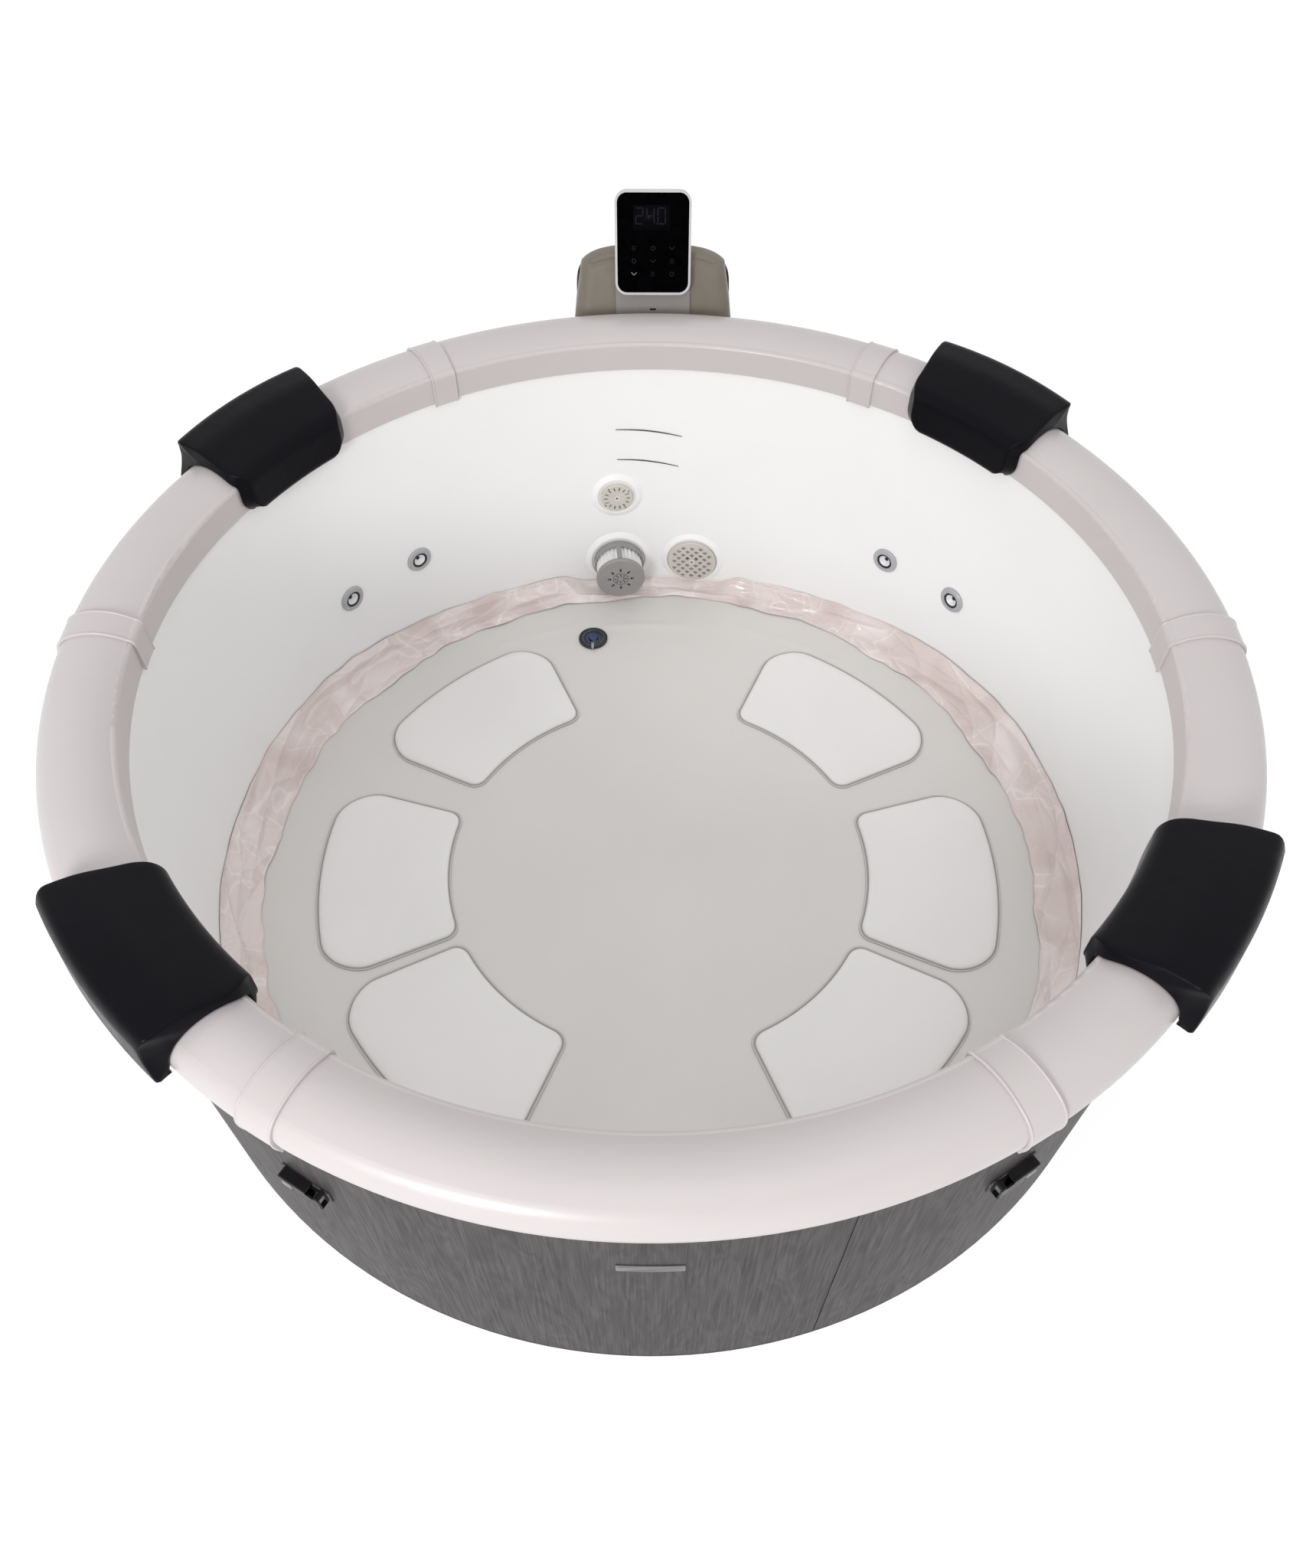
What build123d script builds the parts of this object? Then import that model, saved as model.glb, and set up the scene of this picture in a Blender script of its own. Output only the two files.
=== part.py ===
from build123d import *
import math
import os

# Driving sizes of the tub, in millimetres. Angles are in degrees from the back, clockwise seen from above.
rim_radius = 950.0
tub_height = 700.0
rim_width = 120.0
fit_gap = 0.3
overrun = 5.0

# Rim: a moulded ring in equal segments that hooks over the wall
rim_count = 6
rim_gap = 1.0
rim_drop = 75.0
rim_ridge_drop = 16.0
rim_ridge_round = 8.0
rim_shoulder_in = 21.0
rim_shoulder_drop = 8.0
rim_widest_drop = 41.0
rim_tuck = 7.0
rim_crown_share = 0.48
rim_seat_drop = 36.0
rim_inner_lip = 4.0
rim_outer_lip = 9.0

# Joint covers: saddles snapped over each joint of the rim
cover_width = 57.0
cover_wall = 3.5
cover_reach = 4.5

# Wall: lined foam panels behind a thin skirt
liner_wall = 2.0
wall_thickness = 84.0
skirt_wall = 3.2
core_count = 3
core_gap = 1.0
core_first_angle = -30.0
skirt_count = 3
skirt_gap = 2.0
skirt_seam_angle = 163.7
skirt_rise = 6.0

# Hoop of flat bars let into the top of the wall
bar_width = 30.0
bar_thickness = 4.0
bar_gap = 2.0
splice_length = 90.0
splice_thickness = 3.0

# Base: ground mat, foam board and floor liner
mat_thickness = 4.0
board_thickness = 31.0
floor_liner = 2.0

# Crumpled band of liner between the wall and the floor
band_height = 52.0
band_reach = 72.0
band_edge = 2.0
band_gap = 1.0

# Seat pads welded to the floor
pad_angles = (-137.0, -94.0, -44.0, 44.0, 94.0, 137.0)
pad_half_angle = 20.5
pad_from_wall = 172.3
pad_length = 264.0
pad_height = 9.0
pad_bevel = 6.0
pad_outer_corner = 78.0
pad_inner_corner = 52.0

# Headrests: foam saddles that hook over the rim
rest_names = ("front_left", "rear_left", "rear_right", "front_right")
rest_angles = (-133.5, -54.0, 46.0, 128.0)
rest_half_angle = 9.0
rest_inner_foam = 20.0
rest_inner_drop = 22.0
rest_outer_foam = 23.0
rest_outer_gap = 3.0
rest_outer_drop = 51.0
rest_inner_rise = 16.0
rest_outer_rise = 40.0
rest_inner_run = 22.0
rest_top_in = 14.0
rest_outer_round = 16.0
rest_inner_round = 30.0
rest_tip_round = 6.0
rest_crown_round = 160.0
rest_end_round = 26.0

# Fittings through the wall, each in line with its port on the control box
port_flange = 5.0
port_bore_wall = 3.0
port_pipe_radius = 19.0
port_reach_out = 40.0
filter_angle = -5.6
filter_height = 115.0
filter_flange_radius = 66.0
outlet_angle = 6.6
outlet_height = 115.0
outlet_flange_radius = 63.0
air_angle = -5.6
air_height = 302.0
air_flange_radius = 46.0
union_radius = 27.0
union_length = 26.0
union_side_count = 8

# Filter: pleated cartridge in a barred collar under a drilled cap
filter_radius = 54.0
filter_core_radius = 25.0
filter_length = 56.0
pleat_count = 30
pleat_depth = 6.0
collar_wall = 4.0
collar_length = 19.0
collar_plate = 4.0
spigot_length = 18.0
cage_bar_count = 3
cage_bar_width = 12.0
cage_bar_first = 90.0
cap_radius = 57.0
cap_thickness = 9.0
cap_bevel = 2.5
cap_plug = 8.0
cap_hole_count = 8
cap_hole_radius = 2.3
cap_outer_circle = 25.0
cap_inner_circle = 12.0

# Grilles: a latticed one for the water outlet and a slotted one for the air
outlet_grille_radius = 57.5
outlet_grille_height = 8.0
outlet_hole = 8.5
outlet_pitch = 14.5
outlet_lattice_radius = 46.0
air_grille_radius = 36.5
air_grille_height = 7.0
air_slot_count = 14
air_slot_width = 3.4
air_slot_inner = 21.0
air_slot_outer = 30.0
grille_screw_radius = 3.2
grille_bevel = 2.0

# Hydro jets: a bezel with a tail through the liner, and a nozzle that turns in it
jet_angles = (-50.7, -38.3, 38.3, 50.7)
jet_height = 264.0
jet_bezel_radius = 29.0
jet_bezel_height = 6.5
jet_bezel_bevel = 3.0
jet_tail_radius = 22.0
jet_tail_length = 40.0
jet_nozzle_radius = 18.0
jet_nozzle_length = 15.0
jet_nozzle_proud = 4.0
jet_cone_radius = 13.0
jet_cone_depth = 8.0
jet_hole_radius = 4.5
jet_nipple_radius = 8.0
hose_radius = 11.0
hose_line = 61.0
hose_end_angle = 8.6
hose_overhang_angle = 1.4
hose_reach_out = 45.0
hose_channel_gap = 1.0

# Drain: a bowl in the floor with a pipe under it and a plug
drain_angle = -12.3
drain_from_wall = 184.3
drain_flange_radius = 33.5
drain_flange = 4.0
drain_bowl_radius = 24.0
drain_bowl_depth = 9.0
drain_pipe_radius = 13.0
drain_pipe_wall = 3.0
drain_pipe_drop = 19.5
drain_spout_radius = 15.0
drain_spout_length = 20.0
drain_spout_gap = 2.0
plug_rim_radius = 21.0
plug_height = 7.0
plug_tab_length = 34.0
plug_tab_width = 11.0
plug_tab_thickness = 2.5

# Buckles on the skirt for the straps of a cover
buckle_names = ("left", "right")
buckle_angles = (-149.0, 147.0)
buckle_height = 400.0
strap_length = 92.0
strap_width = 38.0
strap_thickness = 2.2
socket_length = 74.0
socket_width = 36.0
socket_thickness = 15.0
socket_wall = 3.0
socket_depth = 44.0
socket_round = 5.0
socket_window_length = 18.0
socket_window_width = 22.0
socket_notch_length = 15.0
socket_notch_depth = 6.0
socket_notch_place = 16.0

# Control box behind the tub
box_gap = 12.0
box_depth = 293.0
box_base_half_width = 182.0
box_waist_half_width = 172.0
box_top_half_width = 148.0
box_height = 790.0
box_lean_rise = 150.0
box_lean_angle = 20.0
box_bevel = 13.0
box_shoulder_round = 45.0
box_brow_round = 32.0
box_back_round = 70.0
box_wall = 4.0
tray_height = 25.0
tray_inset = 2.0
tray_corner = 28.0
foot_height = 3.0
foot_radius = 20.0
foot_inset = 52.0
carrier_wall = 6.0
carrier_height = 500.0
carrier_half_width = 140.0
carrier_place = 205.0
vent_count = 7
vent_width = 150.0
vent_gap = 7.0
vent_pitch = 16.0
vent_height = 470.0

# Dock and remote control
remote_width = 155.0
remote_length = 197.0
remote_thickness = 20.0
remote_corner = 24.0
remote_seat = 70.0
glass_border = 4.5
glass_thickness = 2.5
dock_start = 8.0
dock_length = 217.0
dock_thickness = 5.0
dock_slot_width = 13.0
dock_slot_height = 4.0
dock_slot_place = 38.0
tongue_width = 40.0
tongue_height = 4.0
tongue_start = 78.0
tongue_end = 212.0

# Machinery in the control box
machine_line = 102.0
motor_radius = 46.0
motor_length = 118.0
volute_radius = 56.0
volute_length = 42.0
pump_foot_length = 90.0
pump_foot_width = 70.0
heater_radius = 27.0
heater_height = 232.0
heater_end = 24.0
elbow_wall = 2.0
blower_radius = 58.0
blower_length = 80.0
blower_height = 425.0
bracket_width = 30.0
gland_height = 82.0
gland_side = 95.0
gland_radius = 13.0
gland_neck_radius = 9.0
gland_bore_radius = 5.0
gland_out = 18.0
gland_side_count = 6

# Radii and heights worked out from the sizes above
rim_inner = rim_radius - rim_width
lip_low = tub_height - rim_drop
rim_seat = tub_height - rim_seat_drop
liner_inner = rim_inner + rim_inner_lip + fit_gap
core_inner = liner_inner + liner_wall + fit_gap
core_outer = liner_inner + wall_thickness
skirt_inner = core_outer + fit_gap
skirt_outer = skirt_inner + skirt_wall
board_top = mat_thickness + board_thickness
floor_top = board_top + floor_liner
pad_outer_radius = liner_inner - pad_from_wall
pad_inner_radius = pad_outer_radius - pad_length
drain_place = liner_inner - drain_from_wall
box_front = rim_radius + box_gap
box_back = box_front + box_depth
box_lean_height = box_height - box_lean_rise
hose_circle = liner_inner + hose_line
drain_pipe_height = floor_top - drain_pipe_drop
port_reach = box_front + port_reach_out - liner_inner
machine_y = box_front + machine_line
elbow_radius = port_pipe_radius + elbow_wall
carrier_face = box_front + carrier_place - carrier_wall / 2
full_turn = 360.0
bevel_share = math.sqrt(2) - 1


def turned(angle, shape):
    """The shape moved round the tub from the back to an angle."""
    return Rot(0, 0, -angle) * shape


def ring(face, centre, half_angle):
    """A radius and height outline swept round the tub over a half angle each side of a centre angle."""
    body = revolve(Plane.YZ * face, axis=Axis.Z, revolution_arc=2 * half_angle)
    return turned(centre + half_angle, body)


def full_ring(face):
    """A radius and height outline swept all the way round the tub."""
    return revolve(Plane.YZ * face, axis=Axis.Z, revolution_arc=full_turn)


def strip(inner, outer, low, high):
    """A rectangle from one radius to another and one height to another."""
    return Pos((inner + outer) / 2, (low + high) / 2) * Rectangle(outer - inner, high - low)


def gap_angle(gap, radius):
    """The half angle that half a gap takes up at a radius."""
    return math.degrees(gap / 2 / radius)


def inward(height, radius=liner_inner):
    """A frame on the back wall at a height, with its Z pointing to the middle of the tub and its Y up."""
    return Plane(origin=(0, radius, height), x_dir=(1, 0, 0), z_dir=(0, -1, 0))


def rod(height, radius, start, end):
    """A round bar across the back wall, between two distances in front of the liner."""
    return inward(height) * Pos(0, 0, (start + end) / 2) * Cylinder(radius, end - start)


def within_liner(shape):
    """What lies inside the lined wall, so that a fitting's back follows the wall."""
    return shape & Pos(0, 0, tub_height / 2) * Cylinder(liner_inner - fit_gap, tub_height)


# Rim
def rim_path():
    """The rim's outer line, from the foot of its inner lip over the top to the foot of its outer lip."""
    ridge = tub_height - rim_ridge_drop
    inner_foot = (rim_inner, lip_low)
    inner_top = (rim_inner, ridge - rim_ridge_round)
    ridge_end = (rim_inner + rim_ridge_round, ridge)
    crown = (rim_inner + rim_width * rim_crown_share, tub_height)
    shoulder = (rim_radius - rim_shoulder_in, tub_height - rim_shoulder_drop)
    widest = (rim_radius, tub_height - rim_widest_drop)
    outer_foot = (rim_radius - rim_tuck, lip_low)
    lip = Line(inner_foot, inner_top)
    ridge_arc = TangentArc(inner_top, ridge_end, tangent=(0, 1))
    top = ThreePointArc(ridge_end, crown, shoulder)
    corner = TangentArc(shoulder, widest, tangent=top % 1)
    face = TangentArc(widest, outer_foot, tangent=corner % 1)
    return [lip, ridge_arc, top, corner, face]


def rim_outline():
    """The rim's section: a thick top that sits on the wall, with a lip down each side of it."""
    outer_foot = (rim_radius - rim_tuck, lip_low)
    outer_inside = rim_radius - rim_tuck - rim_outer_lip
    inner_inside = rim_inner + rim_inner_lip
    under = Polyline(
        outer_foot,
        (outer_inside, lip_low),
        (outer_inside, rim_seat),
        (inner_inside, rim_seat),
        (inner_inside, lip_low),
        (rim_inner, lip_low),
    )
    return make_face(rim_path() + [under])


def rim_block(grow, reach=0):
    """The rim's filled outline, its lips made longer by a reach, grown all round."""
    path = rim_path()
    outer_foot = path[-1] @ 1
    inner_foot = path[0] @ 0
    outer_low = outer_foot + (path[-1] % 1) * reach
    inner_low = inner_foot - (path[0] % 0) * reach
    legs = [Line(outer_foot, outer_low), Line(inner_low, inner_foot)] if reach else []
    outline = path + legs + [Line(outer_low, inner_low)]
    return offset(make_face(outline), amount=grow, kind=Kind.ARC)


def rim_segments():
    step = full_turn / rim_count
    half = step / 2 - gap_angle(rim_gap, rim_radius)
    return {f"rim_segment_{i + 1}": ring(rim_outline(), step * i, half) for i in range(rim_count)}


def joint_cover_outline():
    """A thin saddle that follows the rim and ends just below its lips."""
    saddle = rim_block(fit_gap + cover_wall, 2 * cover_reach) - rim_block(fit_gap, 2 * cover_reach)
    below = strip(rim_inner - rim_width, rim_radius + rim_width, 0, lip_low - cover_reach)
    return saddle - below


def joint_covers():
    step = full_turn / rim_count
    half = gap_angle(cover_width, rim_radius)
    outline = joint_cover_outline()
    return {f"rim_joint_cover_{i + 1}": ring(outline, step * (i + 1 / 2), half) for i in range(rim_count)}


# Headrests
def headrest_outline():
    """A saddle with a thick outer edge, a top that slopes to the water and a roll over the inner lip."""
    inner_face = rim_inner - fit_gap - rest_inner_foam
    outer_face = rim_radius + rest_outer_gap + rest_outer_foam
    inner_low = lip_low - rest_inner_drop
    outer_low = tub_height - rest_outer_drop
    outline = FilletPolyline(
        (rim_inner - fit_gap, inner_low),
        (inner_face, inner_low),
        (inner_face, tub_height),
        (rim_inner + rest_inner_run, tub_height + rest_inner_rise),
        (outer_face - rest_top_in, tub_height + rest_outer_rise),
        (outer_face, tub_height + rest_outer_rise / 2),
        (outer_face, outer_low),
        (rim_radius + rest_outer_gap, outer_low),
        radius=[
            rest_tip_round,
            rest_inner_round,
            rest_crown_round,
            rest_outer_round,
            rest_outer_round,
            rest_tip_round,
        ],
    )
    close = Line((rim_radius + rest_outer_gap, outer_low), (rim_inner - fit_gap, inner_low))
    channel = strip(
        rim_inner - fit_gap, rim_radius + rest_outer_gap, inner_low - overrun, tub_height - rim_widest_drop
    )
    return make_face([outline, close]) - channel - rim_block(fit_gap)


def headrest_plan():
    """The headrest seen from above, with its two outer corners rounded."""
    outer = rim_radius + rest_outer_gap + rest_outer_foam
    reach = math.radians(rest_half_angle)
    corner = (outer * math.sin(reach), outer * math.cos(reach))
    other = (-corner[0], corner[1])
    sector = make_face([Polyline(other, (0, 0), corner), ThreePointArc(corner, (0, outer), other)])
    return fillet(sector.vertices().group_by(Axis.Y)[-1], rest_end_round)


def headrests():
    body = ring(headrest_outline(), 0, rest_half_angle) & extrude(headrest_plan(), 2 * tub_height)
    return {f"headrest_{name}": turned(angle, body) for name, angle in zip(rest_names, rest_angles)}


# Wall
def wall_cuts():
    """The holes through the wall for the port pipes, hoses, jets and drain pipe."""
    through = wall_thickness + skirt_wall + overrun
    holes = []
    for angle, height, radius in port_places():
        holes.append(turned(angle, rod(height, radius + hose_channel_gap, -through, overrun)))
    for side in (-1, 1):
        leg = rod(jet_height, hose_radius + hose_channel_gap, -through, overrun)
        holes.append(turned(side * hose_end_angle, leg))
    drain_hole = rod(drain_pipe_height, drain_pipe_radius + fit_gap, -through, overrun)
    holes.append(turned(drain_angle, drain_hole))
    return holes


def jet_cuts():
    """Round pockets for the tails of the jets, and a routed channel for the hose behind them."""
    cuts = []
    for angle in jet_angles:
        pocket = rod(jet_height, jet_tail_radius + hose_channel_gap, -hose_line, overrun)
        cuts.append(turned(angle, pocket))
    reach = hose_radius + hose_channel_gap
    groove = strip(core_inner - overrun, hose_circle + reach, jet_height - reach, jet_height + reach)
    last = max(jet_angles) + 2 * hose_overhang_angle
    first = hose_end_angle - hose_overhang_angle
    for side in (-1, 1):
        cuts.append(ring(groove, side * (first + last) / 2, (last - first) / 2))
    return cuts


def wall_core():
    """Three curved foam panels, rebated along the top for the hoop."""
    step = full_turn / core_count
    half = step / 2 - gap_angle(core_gap, core_inner)
    bar_middle = (core_inner + core_outer) / 2
    rebate = strip(
        bar_middle - bar_width / 2 - fit_gap,
        bar_middle + bar_width / 2 + fit_gap,
        rim_seat - bar_thickness - splice_thickness - fit_gap,
        rim_seat + overrun,
    )
    outline = strip(core_inner, core_outer, mat_thickness, rim_seat) - rebate
    panels = [ring(outline, core_first_angle + step * i, half) for i in range(core_count)]
    cuts = wall_cuts() + jet_cuts()
    return Compound(children=[panel - cuts for panel in panels])


def frame_bars():
    """Flat hoop bars that lie under the rim, with the ends a little apart."""
    step = full_turn / core_count
    middle = (core_inner + core_outer) / 2
    half = step / 2 - gap_angle(bar_gap, middle)
    outline = strip(middle - bar_width / 2, middle + bar_width / 2, rim_seat - bar_thickness, rim_seat)
    first = core_first_angle + step / 2
    return Compound(children=[ring(outline, first + step * (i + 1 / 2), half) for i in range(core_count)])


def bar_splices():
    """Plates under the ends of neighbouring hoop bars."""
    step = full_turn / core_count
    middle = (core_inner + core_outer) / 2
    high = rim_seat - bar_thickness
    outline = strip(middle - bar_width / 2, middle + bar_width / 2, high - splice_thickness, high)
    half = gap_angle(splice_length, middle)
    first = core_first_angle + step / 2
    return Compound(children=[ring(outline, first + step * i, half) for i in range(core_count)])


def skirt_panels():
    """Thin facing sheets with a dark seam between them."""
    step = full_turn / skirt_count
    half = step / 2 - gap_angle(skirt_gap, skirt_outer)
    outline = strip(skirt_inner, skirt_outer, mat_thickness + skirt_rise, rim_seat)
    cuts = wall_cuts()
    panels = {}
    for i in range(skirt_count):
        centre = skirt_seam_angle + step * (i + 1 / 2)
        panels[f"skirt_panel_{i + 1}"] = ring(outline, centre, half) - cuts
    return panels


def wall_liner():
    outline = strip(liner_inner, liner_inner + liner_wall, floor_top, rim_seat)
    jets = [turned(a, rod(jet_height, jet_tail_radius + fit_gap, -overrun, overrun)) for a in jet_angles]
    ports = [turned(a, rod(h, r + fit_gap, -overrun, overrun)) for a, h, r in port_places()]
    return full_ring(outline) - jets - ports


def floor_liner_sheet():
    sheet = Pos(0, 0, floor_top - floor_liner / 2) * Cylinder(liner_inner + liner_wall, floor_liner)
    return sheet - drain_bowl_cut()


def base_board():
    """The foam board under the floor, with a channel for the drain pipe."""
    board_radius = liner_inner + liner_wall
    board = Pos(0, 0, mat_thickness + board_thickness / 2) * Cylinder(board_radius, board_thickness)
    reach = drain_pipe_radius + fit_gap
    channel_length = board_radius - drain_place + overrun
    channel = Pos(0, drain_place + channel_length / 2, mat_thickness + board_thickness / 2) * Box(
        2 * reach, channel_length, board_thickness + overrun
    )
    return board - turned(drain_angle, channel) - drain_bowl_cut()


def ground_mat():
    return Pos(0, 0, mat_thickness / 2) * Cylinder(skirt_outer, mat_thickness)


def liner_band():
    """The loose band of liner in the corner, cut clear of the fittings that it drapes round."""
    outer = liner_inner - fit_gap
    foot = outer - band_reach
    low = floor_top
    outline = Polyline(
        (foot, low),
        (foot, low + band_edge),
        (outer - band_edge, low + band_height),
        (outer, low + band_height),
        (outer, low),
        (foot, low),
    )
    body = full_ring(make_face([outline]))
    keep_off = [
        turned(filter_angle, rod(filter_height, filter_flange_radius + band_gap, 0, liner_inner / 2)),
        turned(outlet_angle, rod(outlet_height, outlet_flange_radius + band_gap, 0, liner_inner / 2)),
    ]
    return body - keep_off


# Seat pads
def pad_outline():
    """A ring sector with generous corners, at the back of the tub."""
    reach = 2 * pad_outer_radius
    spread = math.radians(pad_half_angle)
    side = (reach * math.sin(spread), reach * math.cos(spread))
    wedge = make_face([Polyline((0, 0), side, (-side[0], side[1]), (0, 0))])
    sector = (Circle(pad_outer_radius) - Circle(pad_inner_radius)) & wedge
    ordered = sector.vertices().sort_by(Axis.Y)
    low, high = ordered[:2], ordered[2:]
    sector = fillet(low, pad_inner_corner)
    high = sector.vertices().group_by(SortBy.DISTANCE)[-1]
    return fillet(high, pad_outer_corner)


def seat_pads():
    """Thin pads whose crown falls away all round."""
    pad = extrude(Pos(0, 0, floor_top) * pad_outline(), pad_height)
    pad = chamfer(pad.faces().sort_by(Axis.Z)[-1].edges(), pad_bevel)
    return {f"seat_pad_{i + 1}": turned(angle, pad) for i, angle in enumerate(pad_angles)}


# Ports
def port_places():
    """Angle, height and pipe radius of the three ports."""
    return [
        (filter_angle, filter_height, port_pipe_radius),
        (outlet_angle, outlet_height, port_pipe_radius),
        (air_angle, air_height, port_pipe_radius),
    ]


def port_fittings():
    """Flanges welded to the liner, each with its pipe out through the wall."""
    fittings = []
    reach = port_reach
    flanges = (filter_flange_radius, outlet_flange_radius, air_flange_radius)
    spigots = (spigot_length, 0, 0)
    for (angle, height, pipe), flange, spigot in zip(port_places(), flanges, spigots):
        plate = within_liner(rod(height, flange, -port_flange, port_flange))
        tube = rod(height, pipe, -reach, port_flange + spigot)
        bore = rod(height, pipe - port_bore_wall, -reach - overrun, port_flange + spigot + overrun)
        fittings.append(turned(angle, plate + tube - bore))
    return Compound(children=fittings)


def union_nuts():
    """Octagonal nuts that clamp the pipes between the skirt and the control box."""
    nuts = []
    for angle, height, pipe in port_places():
        start = skirt_outer - liner_inner + fit_gap
        across = RegularPolygon(union_radius, union_side_count) - Circle(pipe + fit_gap)
        nut = inward(height) * Pos(0, 0, -start - union_length) * extrude(across, union_length)
        nuts.append(turned(angle, nut))
    return Compound(children=nuts)


# Filter
def filter_collar():
    """A ring on the wall with bars that run out over the cartridge."""
    start = port_flange + fit_gap
    outside = filter_radius + fit_gap + collar_wall
    tube = rod(filter_height, outside, start, start + collar_length)
    bore = rod(filter_height, filter_radius + fit_gap, start + collar_plate, start + collar_length + overrun)
    hole = rod(filter_height, port_pipe_radius + fit_gap, start - overrun, start + collar_length)
    body = tube - bore - hole
    bar_length = collar_plate + filter_length
    shell = Circle(outside) - Circle(filter_radius + fit_gap)
    bar_face = shell & Pos(outside, 0) * Rectangle(outside, cage_bar_width)
    for i in range(cage_bar_count):
        turn = Rot(0, 0, cage_bar_first + full_turn / cage_bar_count * i)
        body += inward(filter_height) * Pos(0, 0, start) * turn * extrude(bar_face, bar_length)
    return turned(filter_angle, body)


def filter_cartridge():
    """The pleated paper round its open core."""
    points = []
    for i in range(2 * pleat_count):
        radius = filter_radius - (pleat_depth if i % 2 else 0)
        angle = math.pi * i / pleat_count
        points.append((radius * math.cos(angle), radius * math.sin(angle)))
    face = make_face([Polyline(*points, points[0])]) - Circle(filter_core_radius)
    start = port_flange + fit_gap + collar_plate
    body = inward(filter_height) * Pos(0, 0, start) * extrude(face, filter_length)
    return turned(filter_angle, body)


def filter_cap():
    """A drilled end cap with a plug that centres it in the cartridge."""
    start = port_flange + fit_gap + collar_plate + filter_length + fit_gap
    disc = Cylinder(cap_radius, cap_thickness)
    disc = chamfer(disc.edges().group_by(Axis.Z)[-1], cap_bevel)
    body = Pos(0, 0, cap_thickness / 2) * disc
    plug_radius = filter_core_radius - fit_gap
    body += Pos(0, 0, -cap_plug / 2) * Cylinder(plug_radius, cap_plug)
    hole = Cylinder(cap_hole_radius, 2 * cap_thickness + 2 * cap_plug)
    holes = []
    for circle in (cap_inner_circle, cap_outer_circle):
        clear = circle if circle < plug_radius - cap_hole_radius else plug_radius + 2 * cap_hole_radius
        holes += [loc * hole for loc in PolarLocations(clear, cap_hole_count)]
    return turned(filter_angle, inward(filter_height) * Pos(0, 0, start) * (body - holes))


# Grilles
def grille_disc(radius, height):
    disc = Cylinder(radius, height)
    disc = chamfer(disc.edges().group_by(Axis.Z)[-1], grille_bevel)
    return Pos(0, 0, height / 2) * disc - Cylinder(grille_screw_radius, 2 * height + overrun)


def outlet_grille():
    """A disc with a diagonal lattice of square holes."""
    disc = grille_disc(outlet_grille_radius, outlet_grille_height)
    reach = math.ceil(outlet_lattice_radius / outlet_pitch)
    holes = []
    for i in range(-reach, reach + 1):
        for j in range(-reach, reach + 1):
            place = math.hypot(i, j) * outlet_pitch
            if 0 < place <= outlet_lattice_radius:
                hole = Box(outlet_hole, outlet_hole, 2 * outlet_grille_height + overrun)
                holes.append(Rot(0, 0, 45) * Pos(i * outlet_pitch, j * outlet_pitch) * hole)
    body = disc - holes
    return turned(outlet_angle, inward(outlet_height) * Pos(0, 0, port_flange + fit_gap) * body)


def air_grille():
    """A disc with a ring of radial slots."""
    disc = grille_disc(air_grille_radius, air_grille_height)
    slot_length = air_slot_outer - air_slot_inner
    slot = Pos((air_slot_inner + air_slot_outer) / 2, 0) * Box(
        slot_length, air_slot_width, 2 * air_grille_height + overrun
    )
    slots = [Rot(0, 0, full_turn / air_slot_count * i) * slot for i in range(air_slot_count)]
    return turned(air_angle, inward(air_height) * Pos(0, 0, port_flange + fit_gap) * (disc - slots))


# Jets
def jet_bodies():
    """Bezels with a socket for the nozzle and a tail with a nipple to the hose."""
    bodies = []
    socket = jet_nozzle_radius + fit_gap
    seat = jet_nozzle_proud - jet_nozzle_length - fit_gap
    for angle in jet_angles:
        bezel = within_liner(rod(jet_height, jet_bezel_radius, -overrun, jet_bezel_height))
        bezel = chamfer(bezel.faces().sort_by(Axis.Y)[0].edges(), jet_bezel_bevel)
        tail = rod(jet_height, jet_tail_radius, -jet_tail_length, jet_bezel_height / 2)
        nipple_end = hose_line - hose_radius - fit_gap
        nipple = rod(jet_height, jet_nipple_radius, -nipple_end, -jet_tail_length)
        bore = rod(jet_height, socket, seat, jet_bezel_height + overrun)
        feed = rod(jet_height, jet_hole_radius, -nipple_end - overrun, overrun)
        bodies.append(turned(angle, bezel + tail + nipple - bore - feed))
    return Compound(children=bodies)


def jet_nozzles():
    """Turning nozzles with a funnel and a hole through the middle."""
    nozzle = Cylinder(jet_nozzle_radius, jet_nozzle_length)
    nozzle = Pos(0, 0, jet_nozzle_proud - jet_nozzle_length / 2) * nozzle
    funnel = Cone(jet_hole_radius, jet_cone_radius, jet_cone_depth)
    funnel = Pos(0, 0, jet_nozzle_proud - jet_cone_depth / 2) * funnel
    hole = Cylinder(jet_hole_radius, 2 * jet_nozzle_length + overrun)
    body = inward(jet_height) * (nozzle - funnel - hole)
    return {f"jet_nozzle_{i + 1}": turned(angle, body) for i, angle in enumerate(jet_angles)}


def jet_hoses():
    """A hose behind each pair of jets, with a leg out to the control box."""
    hoses = []
    last = max(jet_angles) + hose_overhang_angle
    section = Pos(hose_circle, jet_height) * Circle(hose_radius)
    reach = box_front - liner_inner + hose_reach_out
    for side in (-1, 1):
        arc = ring(section, side * (last + hose_end_angle) / 2, (last - hose_end_angle) / 2)
        leg = turned(side * hose_end_angle, rod(jet_height, hose_radius, -reach, -hose_line))
        hoses.append(arc + leg)
    return Compound(children=hoses)


# Drain
def drain_bowl_cut():
    cut = Pos(0, drain_place, floor_top) * Cylinder(drain_bowl_radius + fit_gap, 2 * floor_top)
    return turned(drain_angle, cut)


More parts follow.
